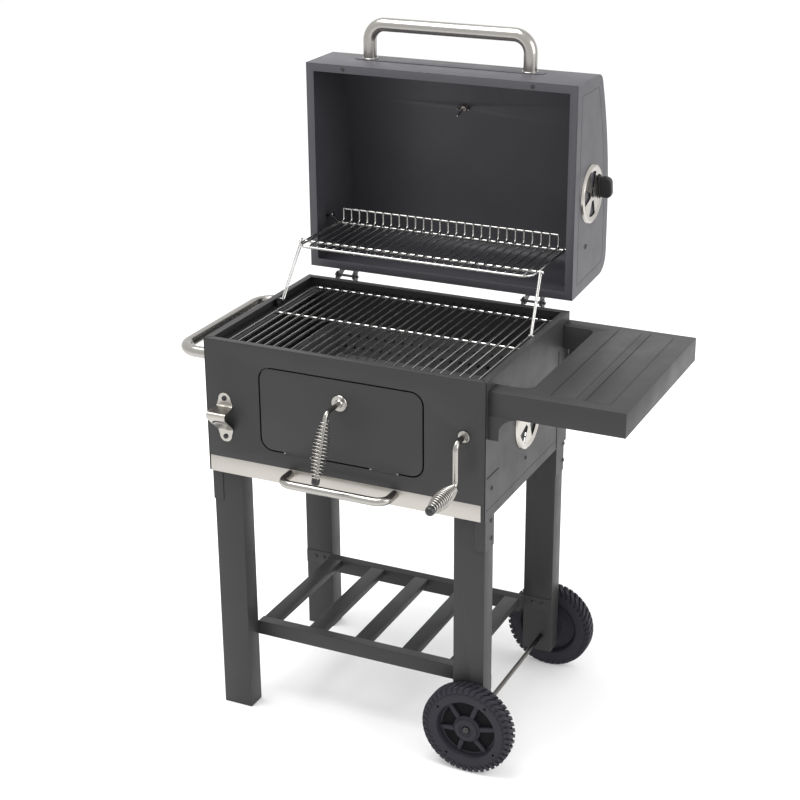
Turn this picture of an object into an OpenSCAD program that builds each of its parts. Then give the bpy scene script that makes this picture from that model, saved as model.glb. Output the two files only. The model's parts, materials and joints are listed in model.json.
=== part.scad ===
// Charcoal grill trolley with an open lid, a warming rack, a crank-lifted
// charcoal tray, a pull-out ash drawer, a side table and two wheels.
// Millimetres. Drawn with x = 0 on the firebox's centre plane, y = 0 on its
// front face and z = 0 on the floor, then moved to the centre of its base.

/* [Firebox] */
// Width of the firebox
box_w = 634; // [560:1:700]
// Depth of the firebox
box_d = 466; // [420:1:520]
// Height of the rim above the floor
rim_z = 875; // [840:1:920]
// Height of the firebox's lower edge
base_z = 575; // [560:1:590]
// Thickness of the sheet metal
sheet = 1.5; // [1:0.1:2.5]
// Width of the rim's inward flange
rim_w = 15; // [10:1:20]

/* [Frame] */
// Width of a leg, seen from the front
leg_w = 68; // [50:1:80]
// Depth of a leg, seen from the side
leg_d = 44.5; // [35:0.5:60]
// How far the front legs stand back from the front face
leg_in = 9.7; // [8:0.1:20]
// Height of the wheel-side legs above the floor
short_leg_z = 63; // [40:1:90]
// Height of the bottom shelf
shelf_z = 198; // [180:1:260]
// Height of a shelf rail
rail_h = 33; // [25:1:45]
// Depth of a shelf rail
rail_d = 24; // [18:1:30]
// Width of a shelf slat
slat_w = 34; // [25:1:45]
// Spacing of the shelf slats
slat_pitch = 113; // [90:1:115]

/* [Wheels] */
// Wheel diameter
wheel_d = 202; // [160:1:220]
// Tread width
wheel_w = 36; // [28:1:44]
// Axle diameter
axle_d = 10; // [8:1:14]

/* [Lid] */
// Height of the lid's roof above its rim
lid_h = 216; // [190:1:240]
// Bend radius of the curved roof
roof_r = 830; // [700:10:1000]
// Slope of the roof where it meets the front wall
roof_slope = 22; // [16:1:26]
// Place of the lid handle beside the middle of the lid
lid_handle_x = -14; // [-30:1:30]

/* [Side table] */
// How far the table reaches out
table_w = 282; // [200:1:320]
// Height of the table top
table_z = 854; // [820:1:860]
// Height of the table's apron
apron_h = 51; // [35:1:60]

/* [Fire] */
// Height of the cooking bars
grate_z = 860; // [850:1:862]
// Number of cooking bars
bar_n = 28; // [20:1:34]
// Height of the charcoal tray's floor, fully raised
tray_z = 706; // [700:1:715]
// Depth of the charcoal tray
tray_h = 72; // [50:1:75]
// Travel of the charcoal tray
lift = 63; // [40:1:64]

/* [Hidden] */

// Running gap between a shaft and its hole, on the radius
run = 0.05;
// Gap between sheets that slide past each other
gap = 0.4;

half_w = box_w / 2;
inner_w = half_w - sheet;
// Top of the drawer front and lower edge of the front panel
strip_h = 37;
strip_top = base_z + strip_h;

leg_x = half_w - 2 * sheet;
leg_front_y = leg_in;
leg_rear_y = box_d - leg_in - leg_d;
rail_front_y = leg_front_y + leg_d;
rail_rear_y = leg_rear_y - rail_d;

axle_x = half_w - 27;
axle_z = wheel_d / 2;
wheel_gap = 1.5;
front_wheel_y = leg_front_y - wheel_gap - wheel_w;
rear_wheel_y = leg_rear_y + leg_d + wheel_gap;

// Lid hinge axis and the lid's place when it is shut
hinge_y = box_d + 14;
hinge_z = rim_z + 4;
hinge_x = 227;
lid_gap = 2;
lid_z = rim_z + lid_gap;

// Warming rack linkage: the hinge-to-pivot vector equals the leg vector
link_y = 75;
link_z = 115;
rack_pivot_y = hinge_y + link_y;
rack_pivot_z = hinge_z + link_z;
foot_y = 298;
foot_z = rim_z - 5;
rack_leg_y = foot_y + link_y;
rack_leg_z = foot_z + link_z;
rack_x = 275;
rack_front_y = 332;
rack_rear_y = 537;

// Door in the front panel
door_x = -3;
door_w = 375;
door_z0 = 645;
door_z1 = 832;
door_r = 29;
door_gap = 3.5;
door_hinge_x = [door_x - 100, door_x + 98];
door_pin_y = sheet / 2;
door_pin_z = door_z0 + door_gap / 2;
// Bent rod that carries the door's coil grip
door_rod = [[door_x, 0, 780], [door_x, -52, 780], [door_x, -63, 771],
            [door_x, -112, 648]];

// Charcoal lift
crank_x = 271;
crank_z = 755;
crank_arm = 91;
guide_x = 236;
plate_x = 240;
tray_half_w = 231;
tray_y0 = 62;
tray_y1 = 432;
carriage_z = 630;
pin_r = 4;
pin_y = [130, 364];
pin_z = tray_z + 24;

vent_r = 65;
vent_y = 224;
vent_z = 716;
box_windows = [135, 225, 315];
vent_half_angle = 22;
// Lid vent, in the open pose
lid_vent_y = hinge_y + 99;
lid_vent_z = hinge_z + 227;
lid_windows = [90, 180, 270];

// The object's outer limits, and the centre of its base
low_x = -half_w - 93 - 12.5;
high_x = half_w - 2 + table_w;
low_y = -171;
high_y = hinge_y - lid_gap + lid_h;
centre_x = (low_x + high_x) / 2;
centre_y = (low_y + high_y) / 2;

// Crank rod, from its bearing out to its grip
crank_y = -42;
grip_z = crank_z - crank_arm;
crank_rod = [[crank_x, 455, crank_z], [crank_x, crank_y + 8, crank_z],
             [crank_x, crank_y, crank_z - 8], [crank_x, crank_y, grip_z + 8],
             [crank_x, crank_y - 8, grip_z], [crank_x, low_y + 10, grip_z]];

body_grey = "#46464a";
body_side = "#5a5a5d";
lid_grey = "#3a3940";
steel = "#b8b3a9";
chrome = "#c9c7c2";
black = "#1c1c1f";
wheel_blue = "#2f2e38";

$fn = 48;

// ---------- Shapes that repeat ----------

// Moves the drawing frame to the centre of the object's base
module placed() translate([-centre_x, -centre_y, 0]) children();

module box(x, y, z) {
    translate([x[0], y[0], z[0]])
        cube([x[1] - x[0], y[1] - y[0], z[1] - z[0]]);
}

// The same thing on the left and on the right
module both_sides() {
    children();
    mirror([1, 0, 0]) children();
}

module rod_x(x, y, z, r) {
    translate([x[0], y, z]) rotate([0, 90, 0]) cylinder(h = x[1] - x[0], r = r);
}

module rod_y(x, y, z, r) {
    translate([x, y[0], z]) rotate([-90, 0, 0]) cylinder(h = y[1] - y[0], r = r);
}

// Slot along x-facing plates, from one end point to the other
module slot_x(x, y0, z0, y1, z1, r) {
    length = norm([y1 - y0, z1 - z0]);
    rod_x(x, y0, z0, r);
    rod_x(x, y1, z1, r);
    translate([x[0], y0, z0]) rotate([atan2(z1 - z0, y1 - y0), 0, 0])
        translate([0, 0, 0.03 - r]) cube([x[1] - x[0], length, 2 * r - 0.06]);
}

// A straight wire between two points
module wire(p, q, r) {
    d = q - p;
    turn = atan2(d[1], d[0]);
    tilt = acos(d[2] / norm(d));
    translate(p) rotate([0, tilt, turn]) cylinder(h = norm(d), r = r);
}

// A wire through a list of points, with ball corners
module bent_wire(points, r) {
    for (i = [0 : len(points) - 2]) wire(points[i], points[i + 1], r);
    for (i = [1 : len(points) - 2]) translate(points[i]) sphere(r = r * 1.02);
}

// Points of an arc, counted from one angle to another
function arc(cx, cy, r, from, to, n = 8) =
    [for (i = [0 : n]) let (a = from + (to - from) * i / n)
        [cx + r * cos(a), cy + r * sin(a)]];

// Outline of a rectangle with round corners
function round_box(w, h, r, n = 8) = concat(
    arc(w / 2 - r, h / 2 - r, r, 0, 90, n),
    arc(-w / 2 + r, h / 2 - r, r, 90, 180, n),
    arc(-w / 2 + r, -h / 2 + r, r, 180, 270, n),
    arc(w / 2 - r, -h / 2 + r, r, 270, 360, n));

// Plate standing in the x-z plane, t thick behind its front face at y = 0
module upright(points, t) {
    translate([0, t, 0]) rotate([90, 0, 0]) linear_extrude(t) polygon(points);
}

// Plate standing in the y-z plane, t thick towards +x
module sideways(points, t) {
    rotate([90, 0, 90]) linear_extrude(t) polygon(points);
}

// Bent bar: two legs along +z, joined by a run along x
module u_bar(span, reach, bend, r, start = 0) {
    for (side = [-1, 1])
        translate([side * span / 2, 0, start]) cylinder(h = reach - bend - start, r = r);
    for (side = [0, 1])
        translate([(side * 2 - 1) * (span / 2 - bend), 0, reach - bend])
            rotate([90, 0, 0]) rotate([0, 0, 90 - 90 * side])
                rotate_extrude(angle = 90) translate([bend, 0]) circle(r = r);
    translate([bend - span / 2, 0, reach]) rotate([0, 90, 0])
        cylinder(h = span - 2 * bend, r = r);
}

// The same bar as a tube, with a flange at each foot
module u_tube(span, reach, bend, r, wall, flange_r, flange_h) {
    difference() {
        union() {
            u_bar(span, reach, bend, r);
            for (side = [-1, 1]) translate([side * span / 2, 0, 0])
                cylinder(h = flange_h, r = flange_r);
        }
        u_bar(span, reach, bend, r - wall, -1);
    }
}

// Wedge windows of a round vent, one at each angle
module wedges(inner, outer, half_angle, angles) {
    for (a = angles) rotate(a)
        polygon(concat(arc(0, 0, inner, -half_angle, half_angle, 2),
                       arc(0, 0, outer, half_angle, -half_angle, 6)));
}

// Round head with a shank, pointing along +z
module screw(head_r, head_h, shank_r, shank_h) {
    rotate_extrude() polygon(concat(
        [[0, -shank_h], [shank_r, -shank_h], [shank_r, 0], [head_r, 0]],
        [for (i = [1 : 4]) [head_r * cos(i * 20), head_h * sin(i * 22.5)]],
        [[0, head_h]]));
}

// Ribbed sleeve that follows a tight coil of wire, along +z
module coil_sleeve(length, turns, end_r, mid_r, bore_r) {
    pitch = length / turns;
    swell = [for (i = [0 : turns]) end_r + (mid_r - end_r) * sin(180 * i / turns)];
    rotate_extrude() polygon(concat(
        [[bore_r, 0]],
        [for (i = [0 : turns - 1]) each [
            [swell[i] - 1.2, i * pitch],
            [(swell[i] + swell[i + 1]) / 2, (i + 0.5) * pitch]]],
        [[end_r - 1.2, length], [bore_r, length]]));
}

// ---------- Firebox ----------

module front_panel() {
    hole = round_box(door_w, door_z1 - door_z0, door_r);
    color(body_grey) difference() {
        box([-half_w, half_w], [0, sheet], [strip_top, rim_z - sheet]);
        translate([door_x, -1, (door_z0 + door_z1) / 2]) upright(hole, 4);
        rod_y(crank_x, [-1, 4], crank_z, 7);
    }
}

module rear_panel() {
    color(body_grey)
        box([-half_w, half_w], [box_d - sheet, box_d], [base_z, rim_z - sheet]);
}

// Side panel, with a lip that covers one end of the drawer front
module side_sheet(lip) {
    box([inner_w, half_w], [sheet, box_d - sheet], [base_z, rim_z - sheet]);
    box([half_w - lip, half_w], [0, sheet], [base_z, strip_top]);
}

module left_panel() { color(body_side) mirror([1, 0, 0]) side_sheet(sheet); }

module right_panel() {
    color(body_side) difference() {
        side_sheet(8);
        translate([inner_w - 1, vent_y, vent_z]) rotate([90, 0, 90])
            linear_extrude(4) union() {
                wedges(16, 50, vent_half_angle, [for (a = box_windows) a + 45]);
                circle(r = 3);
            }
    }
}

module firebox_rim() {
    color(body_grey) difference() {
        box([-half_w, half_w], [0, box_d], [rim_z - sheet, rim_z]);
        box([rim_w - half_w, half_w - rim_w], [rim_w, box_d - rim_w],
            [rim_z - 2 * sheet, rim_z + 1]);
    }
}

// ---------- Frame ----------

// Box-section leg; side is -1 on the left and 1 on the right
module leg(side, y, foot) {
    top = base_z + 90;
    x0 = side > 0 ? leg_x - leg_w : -leg_x;
    color(body_grey) difference() {
        box([x0, x0 + leg_w], [y, y + leg_d], [foot, top]);
        box([x0 + sheet, x0 + leg_w - sheet], [y + sheet, y + leg_d - sheet],
            [foot + sheet, top + 1]);
        if (side > 0) rod_y(axle_x, [y - 1, y + leg_d + 1], axle_z, axle_d / 2);
    }
}

module front_left_leg() { leg(-1, leg_front_y, 0); }
module rear_left_leg() { leg(-1, leg_rear_y, 0); }
module front_right_leg() { leg(1, leg_front_y, short_leg_z); }
module rear_right_leg() { leg(1, leg_rear_y, short_leg_z); }

// Angle brackets between the legs and the firebox
module corner_brackets() {
    low = base_z - 70;
    flange = 22;
    color(body_side) both_sides() {
        box([leg_x, leg_x + sheet], [leg_in - sheet, leg_in + leg_d],
            [low, base_z + 92]);
        box([leg_x - flange, leg_x], [leg_in - sheet, leg_in],
            [low, base_z - 1]);
        box([leg_x, leg_x + sheet], [leg_rear_y, leg_rear_y + leg_d + sheet],
            [low, base_z + 92]);
        box([leg_x - flange, leg_x],
            [leg_rear_y + leg_d, leg_rear_y + leg_d + sheet], [low, base_z - 1]);
    }
}

// Shelf rail: a channel between the legs, with flat ends screwed to them
module rail(y, wall_y) {
    x = leg_x - leg_w;
    color(body_grey) {
        difference() {
            box([-x, x], [y, y + rail_d], [shelf_z - rail_h, shelf_z]);
            box([sheet - x, x - sheet], [y + sheet, y + rail_d - sheet],
                [shelf_z - rail_h - 1, shelf_z - sheet]);
        }
        box([-leg_x, leg_x], [wall_y, wall_y + sheet], [shelf_z - rail_h, shelf_z]);
    }
}

module shelf_front_rail() { rail(rail_front_y, rail_front_y); }
module shelf_rear_rail() { rail(rail_rear_y, rail_rear_y + rail_d - sheet); }

module shelf_slats() {
    color(body_grey) for (i = [-2 : 2]) difference() {
        box([i * slat_pitch - slat_w / 2, i * slat_pitch + slat_w / 2],
            [rail_front_y + rail_d, rail_rear_y], [shelf_z - 16, shelf_z]);
        box([i * slat_pitch - slat_w / 2 + sheet, i * slat_pitch + slat_w / 2 - sheet],
            [rail_front_y + rail_d + sheet, rail_rear_y - sheet],
            [shelf_z - 17, shelf_z - sheet]);
    }
}

// ---------- Side table ----------

// Outline of the table top, with the cut-out beside the firebox
function table_outline(inset) =
    let (x1 = half_w - 2 + table_w - inset, y0 = 12 + inset, y1 = 470 - inset,
         cut = half_w + 73 + inset, c0 = 55 - inset, c1 = 428 + inset, r = 22)
    concat([[half_w + inset, y0], [x1, y0], [x1, y1], [half_w + inset, y1],
            [half_w + inset, c1]],
           arc(cut - r, c1 - r, r, 90, 0, 6),
           arc(cut - r, c0 + r, r, 0, -90, 6),
           [[half_w + inset, c0]]);

module side_table() {
    panel_x = [half_w + 118, half_w + 188];
    color(body_side) {
        difference() {
            translate([0, 0, table_z - apron_h]) linear_extrude(apron_h)
                polygon(table_outline(0));
            translate([0, 0, table_z - apron_h - 1])
                linear_extrude(apron_h + 1 - sheet) polygon(table_outline(sheet));
        }
        for (x = panel_x) box([x, x + 50], [42, 450], [table_z - 0.7, table_z + 0.8]);
    }
}

// Curved gussets that carry the table
module table_brackets() {
    low = table_z - apron_h - 51;
    outline = concat([[half_w, low], [half_w + 22, low]],
        arc(half_w + 22 + 35, low + 14, 35, 180, 90, 8),
        [[half_w + 57, table_z - apron_h], [half_w, table_z - apron_h]]);
    color(body_side) for (y = [12, 470 - sheet])
        translate([0, y, 0]) upright(outline, sheet);
    color(body_side) for (y = [12 + sheet, 470 - sheet - 20])
        box([half_w, half_w + sheet], [y, min(y + 20, box_d - 2)],
            [low, table_z - apron_h]);
}

// ---------- Fittings ----------

module side_handle() {
    color(chrome) translate([-half_w, 230, 820]) rotate([0, -90, 0])
        rotate([0, 0, 90]) u_tube(364, 93, 50, 12.5, 1.2, 19, 3);
}

// A strip bent out to a nose, with a slot in its underside for the cap
module bottle_opener() {
    holes = [45, -41];
    plate = concat(arc(0, holes[0], 12.5, 10, 170, 8), [[-22, 28], [-22, -27]],
                   arc(0, holes[1], 12.5, 190, 350, 8), [[22, -27], [22, 28]]);
    nose = [[2, 28], [-38, 24.5], [-41, 21], [-41.5, 15], [-39, 9.5], [2, -27],
            [2, -24.3], [-37.7, 11], [-39.5, 15.4], [-39, 20.2], [-37.3, 22.4], [2, 26]];
    translate([-crank_x - 2, -2, 702]) {
        color(steel) difference() {
            union() {
                upright(plate, 2);
                translate([-22, 0, 0]) difference() {
                    sideways(nose, 44);
                    box([8, 36], [-31, -11], [-22, 12]);
                }
            }
            for (z = holes) rod_y(0, [-3, 3], z, 3);
        }
        color(steel) for (z = holes) translate([0, 0, z]) rotate([90, 0, 0])
            screw(6, 3, 3, 4.5);
    }
}

module drawer_runners() {
    color(body_grey) both_sides() {
        box([leg_x - leg_w - 14, leg_x - leg_w - 12], [12, 420],
            [base_z - 2, base_z + 28]);
        box([leg_x - leg_w - 32, leg_x - leg_w - 14], [12, 420],
            [base_z - 2, base_z - 0.5]);
        box([leg_x - leg_w - 12, leg_x - leg_w], [14, 46],
            [base_z + 10, base_z + 12]);
        box([leg_x - leg_w - 12, leg_x - leg_w], [416, 420],
            [base_z + 10, base_z + 12]);
    }
}

module grate_ledges() {
    z = grate_z - 8 - sheet;
    color(body_grey) both_sides() {
        box([inner_w - 38, inner_w], [30, box_d - 16], [z, z + sheet]);
        box([inner_w - sheet, inner_w], [30, box_d - 16], [z - 15, z]);
    }
}

module cooking_grate() {
    bar_r = 2.5;
    x1 = 285;
    pitch = 2 * (x1 - 4) / (bar_n - 1);
    color(chrome) {
        for (i = [0 : bar_n - 1])
            rod_y((i - (bar_n - 1) / 2) * pitch, [22, 452], grate_z, bar_r);
        for (y = [45, 252, 440])
            rod_x([-x1 - 3, x1 + 3], y, grate_z - 5, 3);
    }
}

// Slotted plates that let the tray move only up and down
module tray_guides() {
    color(body_grey) both_sides() difference() {
        box([guide_x, guide_x + 2], [sheet, box_d - sheet],
            [pin_z - lift - 10, tray_z + tray_h]);
        for (y = pin_y) slot_x([guide_x - 1, guide_x + 3], y, pin_z,
                               y, pin_z - lift, pin_r + gap);
    }
}

// ---------- Hinges ----------

module hinge_ear(x, w, points, bore_r) {
    translate([x, 0, 0]) difference() {
        sideways(points, w);
        rod_x([-1, w + 1], hinge_y, hinge_z, bore_r);
    }
}

module hinge_brackets() {
    ear = [[box_d, rim_z - 50], [box_d + 4, rim_z - 50], [hinge_y + 8, hinge_z - 6],
           [hinge_y + 8, hinge_z + 4], [hinge_y + 4, hinge_z + 8],
           [hinge_y - 6, hinge_z + 8], [box_d + 2, rim_z - 8], [box_d, rim_z - 8]];
    color(black) both_sides() translate([hinge_x, 0, 0]) {
        box([-24.5, 24.5], [box_d, box_d + 2], [rim_z - 50, rim_z - 8]);
        for (x = [-24.5, 21.5]) hinge_ear(x, 3, ear, 3);
    }
}

module hinge_pins() {
    color(chrome) both_sides() rod_x([hinge_x - 29, hinge_x + 29], hinge_y, hinge_z, 3);
}

module rack_foot_pegs() {
    inner = half_w - rim_w;
    color(body_grey) both_sides() {
        box([inner, inner + sheet], [foot_y - 8, foot_y + 8], [rim_z - 20, rim_z - sheet]);
        rod_x([inner - 14, inner], foot_y, foot_z, 2);
    }
}

module vent_rivet() {
    color(chrome) translate([half_w, vent_y, vent_z]) rivet();
}

// Pins in the gap under the door, each carried by two small feet
module door_hinge_pins() {
    color(chrome) for (x = door_hinge_x) {
        rod_x([x - 32, x + 32], door_pin_y, door_pin_z, 0.9);
        for (side = [-1, 1]) translate([x + side * 30.5, 0, 0])
            box([-1.5, 1.5], [0, sheet], [door_z0, door_pin_z + 0.9]);
    }
}

module frame_screws() {
    color(black) both_sides() {
        for (p = [[37, 637], [39, 564], [43, 523], [box_d - 11, 569], [box_d - 12, 529]])
            translate([p[1] > base_z ? half_w : leg_x + sheet, p[0], p[1]])
                rotate([0, 90, 0]) screw(5, 2.2, 2.4, 1);
    }
    color(black) for (side = [-1, 1]) for (dx = [-10, 12])
        translate([side * (leg_x - 34) + dx, leg_rear_y - sheet, shelf_z - 14])
            rotate([90, 0, 0]) screw(4.5, 2.4, 2.4, 1);
}

// ---------- Wheels ----------

module axle() {
    color(chrome) rod_y(axle_x, [front_wheel_y + 3.6, rear_wheel_y + wheel_w - 3.6],
                        axle_z, axle_d / 2);
}

module axle_nuts() {
    color(chrome) for (end = [0, 1])
        translate([axle_x, end ? rear_wheel_y + wheel_w - 3.6 : front_wheel_y + 3.6,
                   axle_z])
            rotate([end ? -90 : 90, 0, 0]) cylinder(h = 3, r = 8, $fn = 6);
}

// Moulded wheel on the +y side of its outer face
module wheel() {
    r = wheel_d / 2;
    w = wheel_w;
    bore = axle_d / 2 + run;
    color(wheel_blue) rotate([90, 0, 0]) {
        rotate_extrude() polygon([
            [bore, 1.5], [15, 1.5], [15, w - 18], [63, w - 18], [66, 1], [86, 0],
            [r - 3, 3], [r, 9], [r, w - 9], [r - 3, w - 3], [86, w], [67, w - 1],
            [62, w - 14], [30, w - 14], [28, w - 4], [bore, w - 4]]);
        for (a = [0 : 60 : 300]) rotate(a) translate([27, -4, w - 15])
            cube([38, 8, 10]);
    }
}

module front_wheel() {
    translate([axle_x, front_wheel_y + wheel_w, axle_z]) wheel();
}

module rear_wheel() {
    translate([axle_x, rear_wheel_y, axle_z]) mirror([0, 1, 0]) wheel();
}

// ---------- Lid, drawn shut and then turned open about its hinge ----------

module lid_open() {
    translate([0, hinge_y, hinge_z]) rotate([-90, 0, 0])
        translate([0, -hinge_y, -hinge_z]) children();
}

// Side outline of the shut lid, t inside its outer face
function lid_outline(t, low) =
    let (x0 = 330 - roof_r * sin(roof_slope),
         z0 = lid_h - roof_r * (1 - cos(roof_slope)),
         r1 = x0 / (1 - sin(roof_slope)),
         r2 = 42, back = 3.1)
    concat([[t, low]],
        arc(r1, z0 - r1 * cos(roof_slope), r1 - t, 180, 90 + roof_slope, 6),
        arc(330, lid_h - roof_r, roof_r - t, 90 + roof_slope, 90, 10),
        arc(box_d - 51.5, lid_h - r2, r2 - t, 90, back, 6),
        [[box_d - t, low]]);

module lid_slice(x, t, low) {
    translate([x[0], 0, lid_z]) sideways(lid_outline(t, low), x[1] - x[0]);
}

module lid_shell() {
    color(lid_grey) difference() {
        lid_open() difference() {
            lid_slice([-inner_w, inner_w], 0, 0);
            lid_slice([-half_w, half_w], sheet, -5);
        }
        on_roof() translate([0, 0, -9]) cylinder(h = 20, r = 3);
    }
}

// Side of the lid, with a pressed line that follows its outline
module lid_side(right) {
    outer = right ? half_w : -half_w;
    color(body_grey) difference() {
        lid_open() difference() {
            lid_slice(right ? [inner_w, half_w] : [-half_w, -inner_w], 0, 0);
            difference() {
                lid_slice([outer - 0.6, outer + 0.6], 26, 26);
                lid_slice([outer - 0.7, outer + 0.7], 27.6, 27.6);
            }
        }
        rod_x([outer - 3, outer + 3], rack_pivot_y, rack_pivot_z, 3);
        if (right) translate([inner_w - 1, lid_vent_y, lid_vent_z]) rotate([90, 0, 90])
            linear_extrude(4) union() {
                wedges(16, 50, vent_half_angle, [for (a = lid_windows) a + 45]);
                circle(r = 3);
            }
    }
}

module lid_left_side() { lid_side(false); }
module lid_right_side() { lid_side(true); }

module lid_rim() {
    flange = 18;
    color(lid_grey) lid_open() difference() {
        box([sheet - half_w, half_w - sheet], [sheet, box_d - sheet - 0.4],
            [lid_z, lid_z + sheet]);
        box([flange - half_w, half_w - flange], [flange, box_d - flange],
            [lid_z - 1, lid_z + 3]);
    }
}

module lid_handle_plate() {
    color(steel) lid_open()
        translate([lid_handle_x, -1.5, lid_z + 90]) upright(round_box(450, 36, 17.9), 1.5);
}

module lid_handle() {
    color(chrome) lid_open() translate([lid_handle_x, -1.5, lid_z + 90])
        rotate([90, 0, 0]) u_tube(379, 76, 38, 15, 1.5, 15, 1);
}

// Leaves on the back wall, drawn in the open pose, where that wall is below
module lid_hinge_leaves() {
    z = lid_wall_z() - 0.2;
    slope = 2.27;
    y = [hinge_y + 2, hinge_y + 44];
    plate = [[y[0], z - 2], [y[1], z - 2 + slope], [y[1], z + slope], [y[0], z]];
    ear = [[y[0], z - 1], [y[1], z - 1 + slope], [hinge_y + 9, hinge_z - 2],
           [hinge_y + 4, hinge_z - 7], [hinge_y - 4, hinge_z - 7], [hinge_y - 7, hinge_z],
           [hinge_y - 5, hinge_z + 6]];
    color(black) both_sides() translate([hinge_x, 0, 0]) {
        for (x = [-19, 16]) hinge_ear(x, 3, ear, 3 + run);
        translate([-19, 0, 0]) sideways(plate, 38);
    }
}

// Height of the open lid's lower wall
function lid_wall_z() = hinge_z + hinge_y - box_d;

// Rubber buffers on the rim, the vent's rivet and the rack's pivot screws
module lid_fasteners() {
    color(black) lid_open() for (x = [-227, 216])
        translate([x, 9, lid_z]) rotate([180, 0, 0]) screw(5, 1.6, 2, 1);
    color(chrome) translate([half_w, lid_vent_y, lid_vent_z]) rivet();
    color(chrome) both_sides() {
        rod_x([294, half_w], rack_pivot_y, rack_pivot_z, 3);
        translate([half_w, rack_pivot_y, rack_pivot_z]) rotate([0, 90, 0])
            screw(6, 3, 3, 1);
    }
}

// Rivet a damper turns on, its head clear of the disc
module rivet() {
    rotate([0, 90, 0]) {
        translate([0, 0, -3]) cylinder(h = 9.2, r = 3);
        translate([0, 0, 6.2]) screw(7, 3, 3, 1);
    }
}

// Dial on the roof, found at an angle along the roof's arc
module on_roof() {
    a = 90 + 15.5;
    lid_open() translate([lid_handle_x, 330 + roof_r * cos(a),
                          lid_z + lid_h - roof_r + roof_r * sin(a)])
        rotate([a - 90, 0, 0]) children();
}

module thermometer() {
    color(steel) on_roof() {
        rotate_extrude() polygon([[0, 0], [31, 0], [31, 9], [29, 11], [26, 11],
                                  [25, 9], [0, 9]]);
        translate([0, 0, -50]) cylinder(h = 51, r = 3);
        translate([0, 0, -12]) cylinder(h = 5, r = 8, $fn = 6);
        translate([-14, -1, -16]) cube([28, 2, 9]);
    }
}

// ---------- Dampers ----------

// Dished disc, its rim close to the wall and its face 4 mm out
module damper_disc(windows) {
    rotate([90, 0, 90]) difference() {
        rotate_extrude() polygon([[0, 4], [vent_r - 3, 4], [vent_r - 1, 0], [vent_r, 0],
                                  [vent_r - 1.6, 5], [0, 5]]);
        translate([0, 0, -1]) linear_extrude(8) union() {
            circle(r = 3 + run);
            wedges(16, 50, vent_half_angle, windows);
        }
    }
}

// Grip of a damper, standing out along x at an angle on the disc
module damper_knob(angle) {
    rotate([angle, 0, 0]) translate([5, 0, 0]) {
        translate([0, 34, -25]) cube([3, 13, 50]);
        translate([0, 47, 0]) rotate([90, 0, 0]) linear_extrude(13)
            polygon(concat([[0, -22]], arc(16, -11, 13, -90, 0, 5),
                           arc(16, 11, 13, 0, 90, 5), [[0, 22]]));
    }
}

module firebox_damper() {
    color(steel) translate([half_w + gap, vent_y, vent_z]) damper_disc(box_windows);
}

module firebox_damper_knob() {
    color(black) translate([half_w + gap, vent_y, vent_z]) damper_knob(45);
}

module lid_damper() {
    color(steel) translate([half_w + gap, lid_vent_y, lid_vent_z])
        damper_disc(lid_windows);
}

module lid_damper_knob() {
    color(black) translate([half_w + gap, lid_vent_y, lid_vent_z]) damper_knob(10);
}

// ---------- Warming rack ----------

module warming_rack() {
    r = 3;
    z = rack_leg_z;
    long_z = z + 4.6;
    fence_z = z + 32;
    eye_x = 299;
    n = 27;
    pitch = 2 * (rack_x - 14) / (n - 1);
    color(chrome) {
        bent_wire([[-rack_x, rack_rear_y, z], [-rack_x, rack_front_y + 16, z],
            [16 - rack_x, rack_front_y, z], [rack_x - 16, rack_front_y, z],
            [rack_x, rack_front_y + 16, z], [rack_x, rack_rear_y, z]], r);
        rod_x([-rack_x, rack_x], rack_rear_y, z, r);
        rod_x([-rack_x - 14, rack_x + 14], rack_leg_y, rack_leg_z, r);
        rod_x([14 - rack_x, rack_x - 14], rack_rear_y + 4, fence_z, 2.5);
        for (i = [0 : n - 1]) let (x = (i - (n - 1) / 2) * pitch)
            bent_wire([[x, rack_front_y, long_z], [x, rack_rear_y, long_z],
                       [x, rack_rear_y, fence_z]], 2);
        both_sides() {
            difference() {
                union() {
                    wire([rack_x, rack_rear_y, z], [eye_x, rack_pivot_y - 3, rack_pivot_z], r);
                    rod_x([eye_x - 2.5, eye_x + 2.5], rack_pivot_y, rack_pivot_z, 7);
                }
                rod_x([eye_x - 12, eye_x + 12], rack_pivot_y, rack_pivot_z, 3 + run);
            }
        }
    }
}

// Hairpin legs between the rack's cross wire and the firebox rim
module rack_legs() {
    x = [rack_x + 8, half_w - rim_w - 9];
    lean = [0, link_z, -link_y] / norm([link_y, link_z]) * 2.6;
    top = [x[0], rack_leg_y, rack_leg_z];
    foot = [x[1], foot_y, foot_z];
    color(chrome) both_sides() difference() {
        union() {
            for (side = [-1, 1]) wire(foot + side * lean, top + side * lean, 1.6);
            rod_x([x[0] - 2.5, x[0] + 2.5], rack_leg_y, rack_leg_z, 6.5);
            rod_x([x[1] - 2.5, x[1] + 2.5], foot_y, foot_z, 5);
        }
        rod_x([x[0] - 9, x[0] + 9], rack_leg_y, rack_leg_z, 3 + run);
        rod_x([x[1] - 9, x[1] + 9], foot_y, foot_z, 2.6);
    }
}

// ---------- Front door ----------

module front_door() {
    w = door_w - 2 * door_gap;
    h = door_z1 - door_z0 - 2 * door_gap;
    color(body_grey) {
        translate([door_x, 0, (door_z0 + door_z1) / 2])
            upright(round_box(w, h, door_r - door_gap), sheet);
        for (x = door_hinge_x) translate([x, 0, 0]) {
            difference() {
                union() {
                    rod_x([-28, 28], door_pin_y, door_pin_z, 1.7);
                    box([-28, 28], [sheet, sheet + 1], [door_pin_z, door_z0 + 16]);
                }
                rod_x([-29, 29], door_pin_y, door_pin_z, 0.9 + run);
            }
        }
    }
}

module door_handle() {
    color(chrome) {
        bent_wire(door_rod, 5);
        rod_y(door_x, [-3, 0], 780, 17.5);
        rod_y(door_x, [-7, -3], 780, 13);
    }
}

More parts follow.
